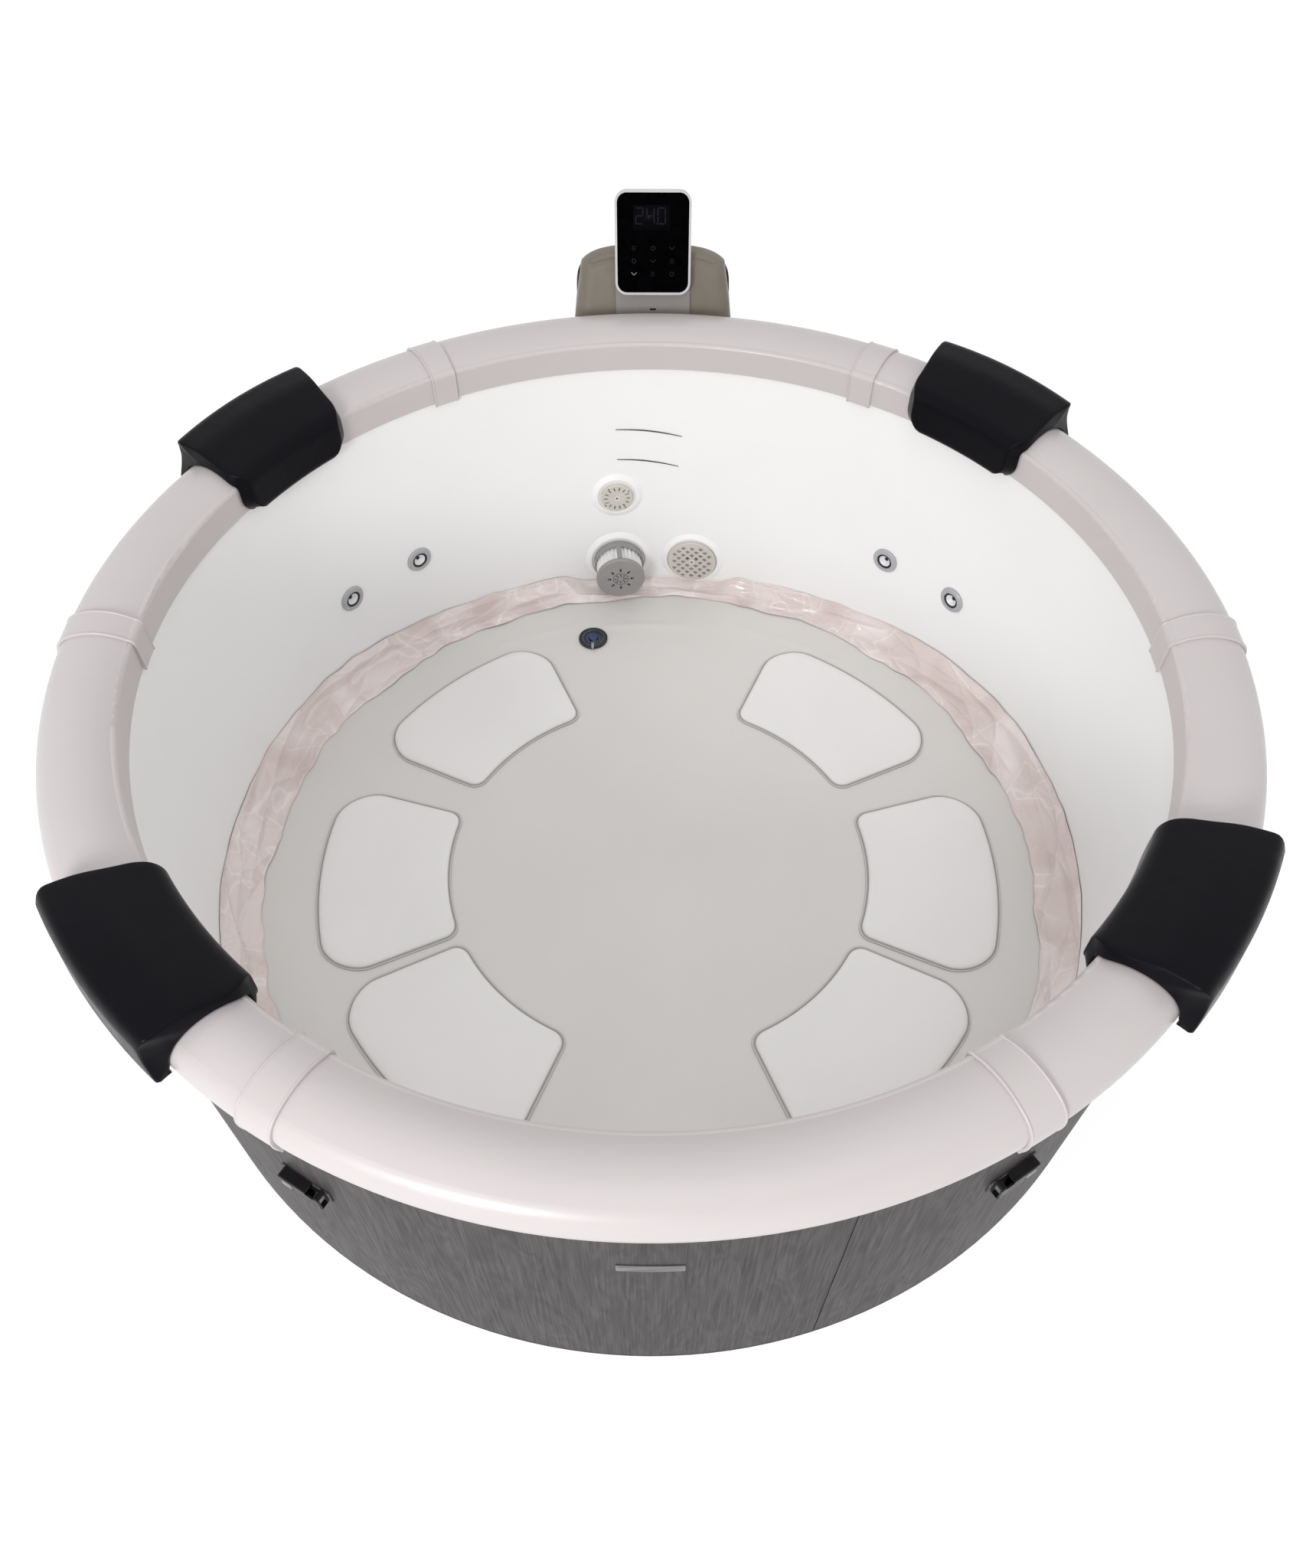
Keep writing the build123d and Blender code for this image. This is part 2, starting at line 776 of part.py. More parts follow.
def drain_body():
    """A flanged bowl in the floor with a pipe under it to a hose spout outside the skirt."""
    low = drain_pipe_height - drain_pipe_radius
    bowl_height = floor_top - low
    flange = Pos(0, drain_place, floor_top + drain_flange / 2) * Cylinder(drain_flange_radius, drain_flange)
    bowl = Pos(0, drain_place, low + bowl_height / 2) * Cylinder(drain_bowl_radius, bowl_height)
    spout_start = skirt_outer + drain_spout_gap - drain_place
    length = spout_start + drain_spout_length
    lie = Plane(origin=(0, drain_place, drain_pipe_height), x_dir=(1, 0, 0), z_dir=(0, 1, 0))
    pipe = lie * extrude(Circle(drain_pipe_radius), length)
    spout = lie * Pos(0, 0, spout_start) * extrude(Circle(drain_spout_radius), drain_spout_length)
    bore = lie * extrude(Circle(drain_pipe_radius - drain_pipe_wall), length + overrun)
    well_top = floor_top + drain_flange
    well = Pos(0, drain_place, well_top - drain_bowl_depth / 2) * Cylinder(
        plug_rim_radius + fit_gap, drain_bowl_depth + fit_gap
    )
    throat_height = well_top - drain_pipe_height
    throat = Pos(0, drain_place, drain_pipe_height + throat_height / 2) * Cylinder(
        drain_pipe_radius - drain_pipe_wall, throat_height
    )
    return turned(drain_angle, flange + bowl + pipe + spout - bore - well - throat)


def drain_plug():
    """A stepped plug with a pull tab over the flange."""
    base = floor_top + drain_flange - drain_bowl_depth + fit_gap
    body = Pos(0, drain_place, base + plug_height / 2) * Cylinder(plug_rim_radius, plug_height)
    knob_height = floor_top + drain_flange - base - plug_height + plug_tab_thickness + fit_gap
    knob = Cylinder(plug_rim_radius / 2, knob_height)
    knob = Pos(0, drain_place, base + plug_height + knob_height / 2) * knob
    tab_low = floor_top + drain_flange + fit_gap
    tab = Pos(0, drain_place - plug_tab_length / 2, tab_low + plug_tab_thickness / 2) * Box(
        plug_tab_width, plug_tab_length, plug_tab_thickness
    )
    return turned(drain_angle, body + knob + tab)


# Buckles
def buckle_straps():
    """Webbing patches that hold the buckle sockets on the skirt."""
    outline = strip(
        skirt_outer + fit_gap,
        skirt_outer + fit_gap + strap_thickness,
        buckle_height - strap_width / 2,
        buckle_height + strap_width / 2,
    )
    half = gap_angle(strap_length, skirt_outer)
    return Compound(children=[ring(outline, angle, half) for angle in buckle_angles])


def buckle_sockets():
    """Hollow sockets with their mouths towards the front, side notches and a strap window."""
    sockets = {}
    back = skirt_outer + strap_thickness + 2 * fit_gap
    for name, angle in zip(buckle_names, buckle_angles):
        side = math.copysign(1, angle)
        frame = Plane(origin=(0, back, buckle_height), x_dir=(side, 0, 0), z_dir=(0, 1, 0))
        body = extrude(RectangleRounded(socket_length, socket_width, socket_round), socket_thickness)
        body = chamfer(body.faces().sort_by(Axis.Z)[-1].edges(), socket_wall / 2)
        mouth_middle = socket_length / 2 - socket_depth / 2
        cavity = Pos(mouth_middle, 0, socket_thickness / 2) * Box(
            socket_depth + overrun, socket_width - 2 * socket_wall, socket_thickness - 2 * socket_wall
        )
        window_middle = 2 * socket_wall + (socket_window_length - socket_length) / 2
        window = Pos(window_middle, 0, socket_thickness) * Box(
            socket_window_length, socket_window_width, socket_thickness
        )
        notches = [
            Pos(socket_length / 2 - socket_notch_place, end * socket_width / 2, socket_thickness / 2)
            * Box(socket_notch_length, 2 * socket_notch_depth, 2 * socket_thickness)
            for end in (-1, 1)
        ]
        sockets[f"buckle_socket_{name}"] = turned(angle, frame * (body - cavity - window - notches))
    return sockets


# Control box
def box_front_outline(inset, low):
    """The box seen from the tub: sides that draw in, more above the waist, and rounded shoulders."""
    base = box_base_half_width - inset
    waist = box_waist_half_width - inset
    top = box_top_half_width - inset
    high = box_height - inset
    right = FilletPolyline(
        (waist, box_lean_height), (top, high), (0, high), radius=[box_shoulder_round - inset]
    )
    foot = Polyline((-waist, box_lean_height), (-base, low), (base, low), (waist, box_lean_height))
    return make_face([right, mirror(right, Plane.YZ), foot])


def box_side_outline(inset, low):
    """The box seen from the side: upright at first, then leaning back to a rounded brow."""
    front = box_front + inset
    back = box_back - inset
    high = box_height - inset
    brow = front + (high - box_lean_height) * math.tan(math.radians(box_lean_angle))
    knee = (front, box_lean_height)
    chain = FilletPolyline(
        (back, low), (back, high), (brow, high), knee, radius=[box_back_round - inset, box_brow_round - inset]
    )
    return make_face([chain, Polyline(knee, (front, low), (back, low))])


def box_edges(inset, low):
    """The ends of each upright edge at the right side of the box, from below the waist and above it."""
    half_widths = (box_base_half_width - inset, box_waist_half_width - inset, box_top_half_width - inset)
    front = box_front + inset
    back = box_back - inset
    high = box_height - inset
    brow = front + (high - box_lean_height) * math.tan(math.radians(box_lean_angle))
    heights = (low, box_lean_height, high)
    front_line = list(zip(half_widths, (front, front, brow), heights))
    back_line = list(zip(half_widths, (back, back, back), heights))
    runs = [(*front_line[i : i + 2], -1) for i in (0, 1)]
    return runs + [(*back_line[i : i + 2], 1) for i in (0, 1)]


def box_bevels(inset, low):
    """Blocks that cut a flat bevel along each upright edge, as deep inside the wall as outside."""
    depth = box_bevel - inset * bevel_share
    blocks = []
    for start, end, way in box_edges(inset, low):
        along = (Vector(*end) - Vector(*start)).normalized()
        out = Vector(1, way, 0)
        out = (out - along * out.dot(along)).normalized()
        frame = Plane(origin=Vector(*start) - out * depth, x_dir=along, z_dir=out)
        block = frame * Pos(0, 0, box_depth / 2) * Box(3 * box_height, box_depth, box_depth)
        blocks += [block, mirror(block, Plane.YZ)]
    return blocks


def box_solid(inset, low):
    """The box as the space that both outlines share, with bevelled upright edges."""
    across = extrude(Plane.XZ * box_front_outline(inset, low), -(box_back + overrun))
    along = extrude(Plane.YZ * box_side_outline(inset, low), box_base_half_width + overrun, both=True)
    return (across & along) - box_bevels(inset, low)


def control_housing():
    """The moulded casing, open underneath, with holes for the pipes and vents at the back."""
    shell = box_solid(0, tray_height) - box_solid(box_wall, tray_height - fit_gap)
    pipes = [turned(a, rod(h, r + hose_channel_gap, -port_reach, 0)) for a, h, r in port_places()]
    hoses = [
        turned(side * hose_end_angle, rod(jet_height, hose_radius + hose_channel_gap, -port_reach, 0))
        for side in (-1, 1)
    ]
    vents = [
        Pos(0, box_back, vent_height + vent_pitch * i) * Box(vent_width, 4 * box_wall, vent_gap)
        for i in range(vent_count)
    ]
    gland_hole = Pos(gland_side, box_back, gland_height) * Rot(90, 0, 0) * Cylinder(
        gland_neck_radius + fit_gap, 4 * box_wall
    )
    return shell - pipes - hoses - vents - gland_hole


def control_base():
    """The tray under the casing, with feet and the upright board that carries the machinery."""
    half = box_base_half_width - tray_inset
    depth = box_depth - 2 * tray_inset
    middle = box_front + box_depth / 2
    plate = RectangleRounded(2 * half, depth, tray_corner)
    body = Pos(0, middle, foot_height) * extrude(plate, tray_height - foot_height)
    feet_x = half - foot_inset
    feet_y = depth / 2 - foot_inset
    foot = Cylinder(foot_radius, foot_height)
    for x in (-feet_x, feet_x):
        for y in (-feet_y, feet_y):
            body += Pos(x, middle + y, foot_height / 2) * foot
    board = Pos(0, box_front + carrier_place, tray_height + carrier_height / 2) * Box(
        2 * carrier_half_width, carrier_wall, carrier_height
    )
    return body + board


def cord_gland():
    """The gland that the mains lead would leave by, with a hexagonal head."""
    frame = Plane(origin=(gland_side, box_back, gland_height), x_dir=(1, 0, 0), z_dir=(0, 1, 0))
    head = extrude(RegularPolygon(gland_radius, gland_side_count), gland_out)
    neck = Pos(0, 0, -2 * box_wall) * extrude(Circle(gland_neck_radius), 2 * box_wall)
    bore = Pos(0, 0, -2 * box_wall - overrun) * extrude(
        Circle(gland_bore_radius), gland_out + 2 * box_wall + 2 * overrun
    )
    return frame * Pos(0, 0, fit_gap) * (head + neck - bore)


# Machinery
def machine_x(angle):
    """Where a port's line crosses the line of the machinery."""
    return machine_y * math.tan(math.radians(angle))


def drum(x, height, radius, length):
    """A round body across the box, on the line of the machinery."""
    return Pos(x, machine_y, height) * Rot(0, 90, 0) * Cylinder(radius, length)


def riser(x, radius, low, high):
    """An upright pipe on the line of the machinery."""
    return Pos(x, machine_y, (low + high) / 2) * Cylinder(radius, high - low)


def branch(angle, height):
    """A spigot from the line of the machinery to the end of a port's pipe."""
    end = machine_y / math.cos(math.radians(angle)) - liner_inner
    return turned(angle, rod(height, port_pipe_radius, -end, -port_reach - fit_gap))


def bracket(x, height):
    """An arm from the machinery to the board behind it."""
    depth = carrier_face - machine_y
    return Pos(x, machine_y + depth / 2, height) * Box(bracket_width, depth, bracket_width)


def circulation_pump():
    """A motor on a foot, with a volute that draws from the filter and feeds the heater."""
    x = machine_x(filter_angle)
    volute = drum(x, filter_height, volute_radius, volute_length)
    motor_x = x + (volute_length + motor_length) / 2
    motor = drum(motor_x, filter_height, motor_radius, motor_length)
    foot = Pos(motor_x, machine_y, (tray_height + filter_height) / 2) * Box(
        pump_foot_length, pump_foot_width, filter_height - tray_height
    )
    outlet = riser(x, elbow_radius, filter_height, heater_height - heater_radius - fit_gap)
    return volute + motor + foot + outlet + branch(filter_angle, filter_height)


def heater_tube():
    """A heater tube on a bracket, fed from the pump and emptying into the outlet pipe."""
    left = machine_x(filter_angle) - heater_end
    right = machine_x(outlet_angle) + heater_end
    tube = drum((left + right) / 2, heater_height, heater_radius, right - left)
    down = riser(machine_x(outlet_angle), elbow_radius, outlet_height - elbow_radius, heater_height)
    return tube + down + branch(outlet_angle, outlet_height) + bracket((left + right) / 2, heater_height)


def air_blower():
    """A drum-shaped blower on a bracket, with its spout down to the air pipe."""
    x = machine_x(air_angle)
    body = drum(x, blower_height, blower_radius, blower_length)
    down = riser(x, elbow_radius, air_height - elbow_radius, blower_height)
    return body + down + branch(air_angle, air_height) + bracket(x, blower_height)


# Dock and remote
def dock_plane(lift):
    """The leaning face of the box, with its Y up the slope and its origin where the lean starts."""
    lean = math.radians(box_lean_angle)
    outward = (0, -math.cos(lean), math.sin(lean))
    origin = (0, box_front + outward[1] * lift, box_lean_height + outward[2] * lift)
    return Plane(origin=origin, x_dir=(1, 0, 0), z_dir=outward)


def dock_panel():
    """A plate on the leaning face with a raised tongue that the remote hangs on."""
    plate_middle = dock_start + dock_length / 2
    plate = Pos(0, plate_middle, 0) * extrude(
        RectangleRounded(remote_width, dock_length, remote_corner / 2), dock_thickness
    )
    tongue_length = tongue_end - tongue_start
    tongue = Pos(0, (tongue_start + tongue_end) / 2, dock_thickness) * extrude(
        Rectangle(tongue_width, tongue_length), tongue_height
    )
    slot = Pos(0, dock_slot_place, dock_thickness) * Box(dock_slot_width, dock_slot_height, dock_thickness)
    return dock_plane(fit_gap) * (plate + tongue - slot)


def remote_case():
    """The shell of the remote control, recessed for its glass and grooved for the tongue."""
    middle = remote_seat + remote_length / 2
    body = Pos(0, middle, 0) * extrude(
        RectangleRounded(remote_width, remote_length, remote_corner), remote_thickness
    )
    recess = Pos(0, middle, remote_thickness - glass_thickness) * extrude(
        RectangleRounded(
            remote_width - 2 * glass_border, remote_length - 2 * glass_border, remote_corner - glass_border
        ),
        glass_thickness + overrun,
    )
    groove_top = tongue_end + fit_gap
    groove_low = remote_seat - overrun
    groove = Pos(0, (groove_low + groove_top) / 2, tongue_height / 2) * Box(
        tongue_width + 2 * fit_gap, groove_top - groove_low, tongue_height + 2 * fit_gap
    )
    return dock_plane(dock_thickness + 2 * fit_gap) * (body - recess - groove)


def remote_glass():
    """The black front glass, set flush in the remote's shell."""
    middle = remote_seat + remote_length / 2
    border = glass_border + fit_gap
    plate = Pos(0, middle, remote_thickness - glass_thickness) * extrude(
        RectangleRounded(remote_width - 2 * border, remote_length - 2 * border, remote_corner - border),
        glass_thickness,
    )
    return dock_plane(dock_thickness + 2 * fit_gap) * plate


def all_parts():
    parts = {
        "wall_core": wall_core(),
        "frame_bars": frame_bars(),
        "bar_splices": bar_splices(),
        "wall_liner": wall_liner(),
        "floor_liner": floor_liner_sheet(),
        "base_board": base_board(),
        "ground_mat": ground_mat(),
        "liner_band": liner_band(),
        "port_fittings": port_fittings(),
        "union_nuts": union_nuts(),
        "filter_collar": filter_collar(),
        "filter_cartridge": filter_cartridge(),
        "filter_cap": filter_cap(),
        "outlet_grille": outlet_grille(),
        "air_grille": air_grille(),
        "jet_bodies": jet_bodies(),
        "jet_hoses": jet_hoses(),
        "drain_body": drain_body(),
        "drain_plug": drain_plug(),
        "buckle_straps": buckle_straps(),
        "control_housing": control_housing(),
        "control_base": control_base(),
        "cord_gland": cord_gland(),
        "circulation_pump": circulation_pump(),
        "heater_tube": heater_tube(),
        "air_blower": air_blower(),
        "dock_panel": dock_panel(),
        "remote_case": remote_case(),
        "remote_glass": remote_glass(),
    }
    for group in (
        rim_segments(),
        joint_covers(),
        skirt_panels(),
        seat_pads(),
        headrests(),
        jet_nozzles(),
        buckle_sockets(),
    ):
        parts.update(group)
    return parts


os.makedirs("parts", exist_ok=True)
for name, shape in all_parts().items():
    export_step(shape, os.path.join("parts", name + ".step"))
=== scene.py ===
import math
import random

import bmesh
import bpy
from mathutils import Matrix, Vector, noise
from mathutils.geometry import delaunay_2d_cdt


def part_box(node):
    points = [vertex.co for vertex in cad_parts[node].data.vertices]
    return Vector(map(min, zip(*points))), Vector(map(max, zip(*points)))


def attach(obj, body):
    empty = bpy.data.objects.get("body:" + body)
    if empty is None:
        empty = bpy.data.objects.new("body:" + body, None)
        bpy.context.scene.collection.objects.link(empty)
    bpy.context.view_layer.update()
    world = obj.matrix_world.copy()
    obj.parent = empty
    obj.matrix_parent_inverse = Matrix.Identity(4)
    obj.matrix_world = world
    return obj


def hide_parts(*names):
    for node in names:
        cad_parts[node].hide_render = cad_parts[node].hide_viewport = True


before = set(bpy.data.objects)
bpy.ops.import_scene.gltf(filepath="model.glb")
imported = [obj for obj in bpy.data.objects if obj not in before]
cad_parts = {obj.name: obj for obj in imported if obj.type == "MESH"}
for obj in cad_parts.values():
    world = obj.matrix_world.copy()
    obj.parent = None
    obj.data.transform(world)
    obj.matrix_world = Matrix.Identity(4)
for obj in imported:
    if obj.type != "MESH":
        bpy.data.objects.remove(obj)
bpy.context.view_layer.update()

mm = 0.001
full_turn = 360.0

# Sizes read from the frame
rim_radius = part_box("rim_segment_1")[1].y
rim_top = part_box("rim_segment_1")[1].z
lip_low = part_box("rim_segment_1")[0].z
floor_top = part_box("floor_liner")[1].z
floor_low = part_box("floor_liner")[0].z
liner_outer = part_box("wall_liner")[1].y
liner_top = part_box("wall_liner")[1].z
mat_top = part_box("ground_mat")[1].z
mat_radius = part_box("ground_mat")[1].y

# Sizes shared by the pieces made here
liner_wall = 2 * mm
liner_inner = liner_outer - liner_wall
rim_width = 120 * mm
rim_inner = rim_radius - rim_width
fit_gap = 0.3 * mm
skirt_radius = mat_radius

# Places of the ports and jets on the wall
filter_angle = -5.6
filter_height = 115 * mm
outlet_angle = 6.6
air_angle = -5.6
air_height = 302 * mm
port_places = ((filter_angle, filter_height), (outlet_angle, filter_height), (air_angle, air_height))
port_hole = 19.3 * mm
jet_angles = (-50.7, -38.3, 38.3, 50.7)
jet_height = 264 * mm
jet_hole = 22.3 * mm
hole_reach = 12 * mm
grille_base = 5.3 * mm

# The photograph's camera
camera_place = (0, -1.3931, 2.0555)
camera_pitch = 51.71
camera_yaw = 0.10
camera_roll = 0.215
camera_focal_px = 1577
picture_height_px = 2048
sensor_side = 36


# Helpers for shapes
def spot(angle, radius, height):
    """A point at an angle from the back, clockwise seen from above."""
    turn = math.radians(angle)
    return Vector((radius * math.sin(turn), radius * math.cos(turn), height))


def about(angle, point):
    """A point at the back of the tub, moved round to an angle."""
    return Matrix.Rotation(-math.radians(angle), 3, "Z") @ Vector(point)


def arc(start, heading, end, steps):
    """The points of an arc that leaves start along a heading, without start itself, and its last heading."""
    start, end, heading = Vector(start), Vector(end), Vector(heading).normalized()
    left = Vector((-heading.y, heading.x))
    chord = end - start
    radius = chord.length_squared / (2 * chord.dot(left))
    centre = start + left * radius
    turn = 2 * math.atan2(chord.dot(left), chord.dot(heading))
    points = [
        centre + Matrix.Rotation(turn * i / steps, 2) @ (start - centre) for i in range(1, steps + 1)
    ]
    return points, Matrix.Rotation(turn, 2) @ heading


def heading_through(start, middle, end):
    """The heading at start of the arc through three points."""
    to_middle, to_end = Vector(middle) - Vector(start), Vector(end) - Vector(start)
    bend = (Vector(middle) - Vector(end)).angle_signed(-to_end)
    return Matrix.Rotation(-bend, 2) @ to_middle


def rounded(corners, radii, steps=6):
    """A closed outline with each corner rounded to its radius."""
    points = []
    for i, (corner, radius) in enumerate(zip(corners, radii)):
        here = Vector(corner)
        back = (Vector(corners[i - 1]) - here).normalized()
        ahead = (Vector(corners[(i + 1) % len(corners)]) - here).normalized()
        reach = radius / math.tan(back.angle(ahead) / 2)
        start = here + back * reach
        points += [start] + arc(start, -back, here + ahead * reach, steps)[0]
    return points


def evenly(points, spacing, closed=True):
    """The outline with more points, no further apart than a spacing."""
    line = list(points) + ([points[0]] if closed else [])
    found = []
    for start, end in zip(line, line[1:]):
        count = max(1, math.ceil((end - start).length / spacing))
        found += [start.lerp(end, i / count) for i in range(count)]
    return found if closed else found + [line[-1]]


def outward(points):
    """The unit normals of a closed outline, to the right of its way round."""
    normals = []
    for i, point in enumerate(points):
        along = (points[(i + 1) % len(points)] - points[i - 1]).normalized()
        normals.append(Vector((along.y, -along.x)))
    return normals


def mesh_object(name, points, faces, finish, body="tub", slot=None, flat=False):
    """A new piece with a finish, riding on a body."""
    mesh = bpy.data.meshes.new(name)
    mesh.from_pydata([tuple(p) for p in points], [], faces)
    mesh.validate()
    if not flat:
        mesh.shade_smooth()
    mesh.materials.append(finish)
    piece = bpy.data.objects.new(name, mesh)
    bpy.context.scene.collection.objects.link(piece)
    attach(piece, body)
    return piece


def quads(rows, columns, wrap_rows=False, wrap_columns=True):
    """The faces of a grid of points, row after row."""
    faces = []
    for i in range(rows if wrap_rows else rows - 1):
        for j in range(columns if wrap_columns else columns - 1):
            k, m = (i + 1) % rows, (j + 1) % columns
            faces.append((i * columns + j, i * columns + m, k * columns + m, k * columns + j))
    return faces


def loft(name, rings, finish, **more):
    """A closed piece through rings of points, with a face at each end."""
    count = len(rings[0])
    points = [p for ring in rings for p in ring]
    faces = quads(len(rings), count)
    faces.append(tuple(reversed(range(count))))
    faces.append(tuple(range(len(points) - count, len(points))))
    return mesh_object(name, points, faces, finish, **more)


class Place:
    """A flat frame for small pieces: X across, Y up and Z out of the surface."""

    def __init__(self, origin, up, out):
        self.origin, self.up, self.out = Vector(origin), Vector(up), Vector(out)
        self.across = self.up.cross(self.out)

    def at(self, x, y, z):
        return self.origin + self.across * x + self.up * y + self.out * z


def on_wall(angle, height):
    """A place on the liner, facing the middle of the tub."""
    return Place(spot(angle, liner_inner, height), (0, 0, 1), -spot(angle, 1, 0))


def on_skirt(angle, height):
    """A place on the skirt, facing away from the tub."""
    return Place(spot(angle, skirt_radius, height), (0, 0, 1), spot(angle, 1, 0))


def settle(piece):
    """Applies a piece's modifiers to its mesh."""
    made = bpy.data.meshes.new_from_object(
        piece.evaluated_get(bpy.context.evaluated_depsgraph_get())
    )
    made.name = piece.name
    piece.modifiers.clear()
    piece.data = made
    return piece


def ripple(point, size):
    """Smooth noise from -1 to 1 whose waves are about a size long."""
    return noise.noise(Vector(point) / size)


# Helpers for finishes
def seen(red, green, blue):
    """A colour as it looks on a screen, from 0 to 255, turned into a shader's linear values."""
    shares = [value / 255 for value in (red, green, blue)]
    linear = [s / 12.92 if s <= 0.04045 else ((s + 0.055) / 1.055) ** 2.4 for s in shares]
    return (*linear, 1)


class Finish:
    """A material whose shader is fed by procedural nodes in the object's own coordinates."""

    def __init__(self, name, roughness=0.5, **settings):
        self.material = bpy.data.materials.new(name)
        self.material.use_nodes = True
        self.tree = self.material.node_tree
        self.shader = self.tree.nodes["Principled BSDF"]
        self.shader.inputs["Roughness"].default_value = roughness
        for key, value in settings.items():
            self.shader.inputs[key.replace("_", " ").title().replace("Ior", "IOR")].default_value = value
        self.place = self.node("ShaderNodeTexCoord").outputs["Object"]

    def node(self, kind, inputs=None, **settings):
        """Adds a node, with its settings and with values or links for its inputs."""
        made = self.tree.nodes.new(kind)
        for key, value in settings.items():
            setattr(made, key, value)
        for key, value in (inputs or {}).items():
            if isinstance(value, bpy.types.NodeSocket):
                self.tree.links.new(value, made.inputs[key])
            else:
                made.inputs[key].default_value = value
        return made

    def maths(self, operation, first, second=0.0):
        return self.node("ShaderNodeMath", {0: first, 1: second}, operation=operation).outputs[0]

    def stretched(self, scale, vector=None):
        """The coordinates, made denser along each axis by a scale."""
        inputs = {"Vector": vector or self.place, "Scale": scale}
        return self.node("ShaderNodeMapping", inputs).outputs[0]

    def noise(self, size, detail=3.0, vector=None, distortion=0.0):
        """Cloudy noise whose lumps are about a size across."""
        inputs = {
            "Vector": vector or self.place,
            "Scale": 1 / size,
            "Detail": detail,
            "Distortion": distortion,
        }
        return self.node("ShaderNodeTexNoise", inputs).outputs[0]

    def cells(self, size, feature="F1"):
        inputs = {"Vector": self.place, "Scale": 1 / size}
        return self.node("ShaderNodeTexVoronoi", inputs, feature=feature).outputs["Distance"]

    def tones(self, value, *stops):
        """Colours along a value, each stop a place from 0 to 1 and a colour."""
        ramp = self.node("ShaderNodeValToRGB", {0: value})
        elements = ramp.color_ramp.elements
        while len(elements) < len(stops):
            elements.new(0.5)
        for element, (place, colour) in zip(elements, stops):
            element.position = place
            element.color = colour
        return ramp.outputs[0]

    def span(self, value, low, high, start=0.3, end=0.7):
        """A value's usual reach turned into another range."""
        inputs = {0: value, 1: start, 2: end, 3: low, 4: high}
        return self.node("ShaderNodeMapRange", inputs).outputs[0]

    def feed(self, key, socket):
        self.tree.links.new(socket, self.shader.inputs[key])

    def bump(self, height, depth):
        """Raises the surface by a height from 0 to 1, up to a depth, on top of any bump before it."""
        inputs = {"Height": height, "Distance": depth, "Strength": 1.0}
        before = self.shader.inputs["Normal"].links
        if before:
            inputs["Normal"] = before[0].from_socket
        self.feed("Normal", self.node("ShaderNodeBump", inputs).outputs[0])

    def around(self, radius):
        """Coordinates laid flat round the tub: the length along a circle, 0, and the height."""
        parts = self.node("ShaderNodeSeparateXYZ", {0: self.place}).outputs
        turn = self.maths("ARCTAN2", parts[0], parts[1])
        length = self.maths("MULTIPLY", turn, radius)
        return self.node("ShaderNodeCombineXYZ", {0: length, 2: parts[2]}).outputs[0]

    def distance(self, centre):
        """How far a point is from a centre."""
        inputs = {0: self.place, 1: centre}
        return self.node("ShaderNodeVectorMath", inputs, operation="DISTANCE").outputs["Value"]


def shade(colour, share):
    """A colour made darker or lighter by a share."""
    return (*(min(1, c * share) for c in colour[:3]), 1)


# Finishes
# Heights above the floor where the pads' painted shade is darkest and where it fades out
pad_painted_shade_full = 0.8 * mm
pad_painted_shade_end = 4.5 * mm


def moulded(name, colour, roughness=0.4, grain=0.9 * mm, depth=0.03 * mm, tone=0.05, **settings):
    """Moulded plastic: faint clouds of tone, a fine grain and slightly uneven gloss."""
    finish = Finish(name, roughness, **settings)
    cloud = finish.noise(60 * mm, 4)
    finish.feed(
        "Base Color", finish.tones(cloud, (0.3, shade(colour, 1 - tone)), (0.7, shade(colour, 1 + tone)))
    )
    finish.feed("Roughness", finish.span(finish.noise(25 * mm), roughness * 0.85, roughness * 1.15))
    finish.bump(finish.noise(grain, 2), depth)
    return finish.material


def rim_finish():
    """Satin moulded skin with long soft waves."""
    colour = seen(201, 194, 194)
    finish = Finish("rim_satin", 0.34, coat_weight=0.25, coat_roughness=0.25)
    cloud = finish.noise(220 * mm, 3)
    finish.feed("Base Color", finish.tones(cloud, (0.3, shade(colour, 0.985)), (0.7, shade(colour, 1.015))))
    finish.feed("Roughness", finish.span(finish.noise(70 * mm), 0.3, 0.4))
    finish.bump(finish.noise(120 * mm, 2), 1.2 * mm)
    finish.bump(finish.noise(1.4 * mm, 2), 0.02 * mm)
    return finish.material


def vinyl_finish(name, colour, soil, roughness):
    """Liner vinyl: wide faint clouds, a leathery grain and soft waves."""
    finish = Finish(name, roughness, sheen_weight=0.08)
    cloud = finish.noise(320 * mm, 3)
    finish.feed("Base Color", finish.tones(cloud, (0.25, soil), (0.75, colour)))
    finish.feed("Roughness", finish.span(finish.noise(90 * mm), roughness - 0.06, roughness + 0.06))
    finish.bump(finish.noise(150 * mm, 2), 1.5 * mm)
    finish.bump(finish.cells(1.6 * mm, "SMOOTH_F1"), 0.03 * mm)
    return finish.material


